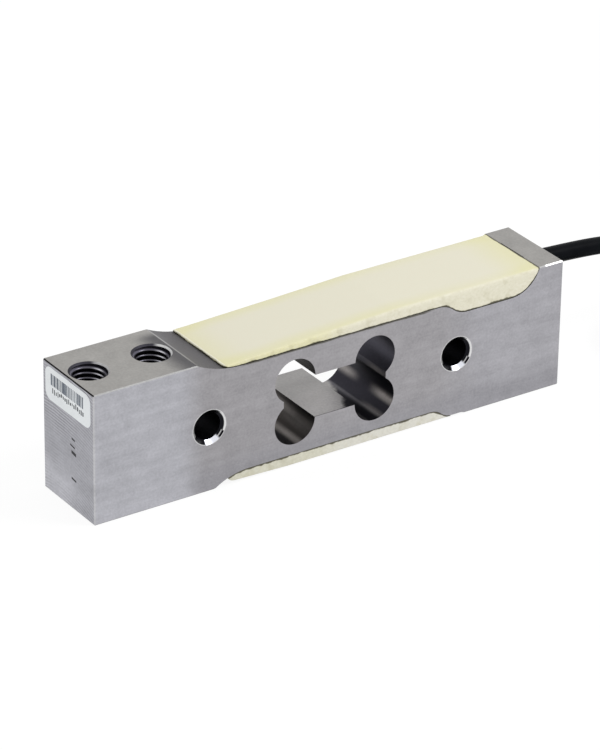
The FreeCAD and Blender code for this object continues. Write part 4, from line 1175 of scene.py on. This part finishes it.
CORE = {
    "Radius": CORE_RADIUS,
    "Tip Radius": TIP_RADIUS,
    "Insulated": 0.8,
    "Insulation": TINNED,
    "Strands": TINNED,
}
core_rule = core_tree(CORE)
for order, (name, *place) in enumerate(CORES):
    is_drain = name == "drain"
    radius, rest = (DRAIN_RADIUS, 2 * CORE_RADIUS) if is_drain else (CORE_RADIUS, 0)
    host = nurbs(f"tail_{name}_path", tail_path(order, *place, radius, rest), 0)
    sizes = {**CORE, "Radius": radius, "Insulation": CORE_PLASTICS.get(name, TINNED)}
    piece = grow(f"stripped_{name}", core_rule, sizes, host)
    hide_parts(f"tail_{name}")

# %% [markdown]
# The label on the load end. Its film is the CAD node. The print on it is plain and says nothing: a
# row of bars of uneven width, and under it a row of short strokes of uneven height, each a little
# up or down. Both are blocks of thin raised ink in a row, with random sizes from a fixed seed.

# %% Label print
LABEL_LOW, LABEL_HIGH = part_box("label")
BARS = {
    "Count": 21,
    "Run": 15.6 * MM,
    "Height": 3.3 * MM,
    "Thin": 0.26 * MM,
    "Thick": 0.8 * MM,
    "Relief": 0.02 * MM,
    "Seed": 4,
    "Start": Vector((LABEL_LOW.x, 8.2 * MM, LABEL_HIGH.z - 3.3 * MM)),
    "Ink": plastic("label_ink", (76, 87, 104), 0.5),
}
MARKS = {
    "Count": 18,
    "Run": 15.2 * MM,
    "Thin": 0.336 * MM,
    "Thick": 0.624 * MM,
    "Short": 0.7 * MM,
    "Tall": 1.7 * MM,
    "Slip": 0.34 * MM,
    "Relief": 0.02 * MM,
    "Seed": 23,
    "Start": Vector((LABEL_LOW.x, 7.6 * MM, LABEL_HIGH.z - 6.25 * MM)),
    "Ink": plastic("label_ink_dark", (48, 52, 60), 0.5),
}


def row_of_points(net, given):
    offset = net.join(0, given["Run"] / (1 - given["Count"]), 0)
    return net.geo("MeshLine", Count=given["Count"], Start_Location=given["Start"], Offset=offset)


def end_row(net, given, points, size):
    """Closes a tree with an inked block of a size of its own on each point."""
    block = net.geo("MeshCube", Size=Vector((1, 1, 1)))
    blocks = net.geo("InstanceOnPoints", Points=points, Instance=block, Scale=size)
    return end_tree(net, blocks, given["Ink"])


def bar_tree(sizes):
    net, given = start_tree("printed_bars", sizes)
    drawn = {2: given["Thin"], 3: given["Thick"], "Seed": given["Seed"]}
    width = net.add("FunctionNodeRandomValue", {"data_type": "FLOAT"}, drawn, 1)
    size = net.join(given["Relief"], width, given["Height"])
    return end_row(net, given, row_of_points(net, given), size)


def mark_tree(sizes):
    net, given = start_tree("printed_marks", sizes)

    def random_vector(low, high, seed):
        inputs = {"Min": net.join(*low), "Max": net.join(*high), "Seed": seed}
        return net.add("FunctionNodeRandomValue", {"data_type": "FLOAT_VECTOR"}, inputs)

    slip, relief, seed = given["Slip"], given["Relief"], given["Seed"]
    offset = random_vector((0, 0, 0 - slip), (0, 0, slip), seed)
    points = net.geo("SetPosition", Geometry=row_of_points(net, given), Offset=offset)
    short, tall = (relief, given["Thin"], given["Short"]), (relief, given["Thick"], given["Tall"])
    return end_row(net, given, points, random_vector(short, tall, seed + 1))


bars = grow("label_bars", bar_tree(BARS), BARS)
marks = grow("label_marks", mark_tree(MARKS), MARKS)

# %% [markdown]
# The tie round the hank: a strap swept round a rectangle, with a square head and a cut-off end.
# Fillet Curve rounds the path's corners, so the path itself is only four points.

# %% Cable tie
TIE_X = HANK_LEFT + 4 * MM
TIE_NEAR = HANK_Y + FOLD_RADIUS - CABLE_RADIUS
TIE_FAR = HANK_Y + FOLD_RADIUS + LANE + CABLE_RADIUS
STRAP = {
    "Width": 4 * MM,
    "Thickness": 0.9 * MM,
    "Corner": 1.7 * MM,
    "Head": Vector((5.4, 3.6, 5)) * MM,
    "Head Place": Vector((TIE_X, TIE_NEAR - 2.4 * MM, 6.2 * MM)),
    "End": Vector((3.4, 1, 6.4)) * MM,
    "End Rise": 4.6 * MM,
    "Nylon": TIE_NYLON,
}


def strap_tree(sizes):
    net, given = start_tree("strap", sizes)
    corners = {"Curve": given["Geometry"], "Radius": given["Corner"], "Count": 6}
    path = net.geo("FilletCurve", {"mode": "POLY"}, **corners)
    flat = {"Width": given["Width"], "Height": given["Thickness"]}
    profile = net.geo("CurvePrimitiveQuadrilateral", {"mode": "RECTANGLE"}, **flat)
    parts = [net.geo("CurveToMesh", Curve=path, Profile_Curve=profile)]
    x, y, z = net.split(given["Head Place"])
    for size, height in ((given["Head"], z), (given["End"], z + given["End Rise"])):
        block = net.geo("MeshCube", Size=size)
        parts.append(net.geo("Transform", Geometry=block, Translation=net.join(x, y, height)))
    return end_tree(net, net.geo("JoinGeometry", Geometry=parts), given["Nylon"])


def tie_path():
    """A closed path round one run of the hank, square to the run."""
    half = TIE_THICKNESS / 2
    near, far, low, high = TIE_NEAR - half, TIE_FAR + half, half, 3 * half + 2 * LAYER
    corners = [(TIE_X, near, low), (TIE_X, far, low), (TIE_X, far, high), (TIE_X, near, high)]
    data, spline = curve("tie_path", "POLY", corners)
    spline.use_cyclic_u = True
    return data


strap = grow("tie_strap", strap_tree(STRAP), STRAP, tie_path())
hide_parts("hank_tie")

# %% [markdown]
# What the resin hides still has its own finish, because the model may be opened: gauges of brown
# film with a metal grid, a green board with tinned pads, small resistors and enamelled leads.

# %% Hidden pieces
FILM, FOIL = (176, 112, 44), (196, 186, 160)
LAMINATE, PADS = (38, 104, 56), (190, 190, 186)
SKIN = 0.1 * MM  # the thickness of foil or pads on a face
GAUGES = ("top", (FILM, FOIL), 0, SKIN), ("under", (FOIL, FILM), 1, -SKIN)


def layered(name, low_tone, high_tone, level, roughness):
    """Two finishes in one piece, parted at a height."""
    material, net, place = start_material(name)
    fine = net.grain(place, 1500)
    base = blend(net.split(place)[2] > level, low_tone, high_tone)
    return end_material(material, net, base, roughness + 0.1 * fine, fine, 0.1)


for reach in ("load", "cable"):
    for way, tones, face, skin in GAUGES:
        node = f"gauge_{way}_{reach}"
        dress(node, layered(f"{node}_film", *tones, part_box(node)[face].z + skin, 0.35))
board_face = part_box("bridge_board")[1].z - SKIN
resistor = plastic("resistor_coat", (28, 28, 32), 0.45)
enamel = plastic("lead_enamel", (150, 66, 38), 0.25)
finishes = {
    "bridge_board": layered("board_laminate", LAMINATE, PADS, board_face, 0.4),
    "zero_resistor": resistor,
    "span_resistor": resistor,
    "drain_wire": TINNED,
    "cable_in_bore": JACKET,
    "jacket_sleeve": SLEEVE,
    "label": plastic("label_film", (246, 250, 252), 0.4, 400, 0.02, 0.05),
}
finishes.update({node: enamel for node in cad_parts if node.startswith("leads_")})
finishes.update({f"core_{name}": finish for name, finish in CORE_PLASTICS.items()})
for node, finish in finishes.items():
    dress(node, finish)
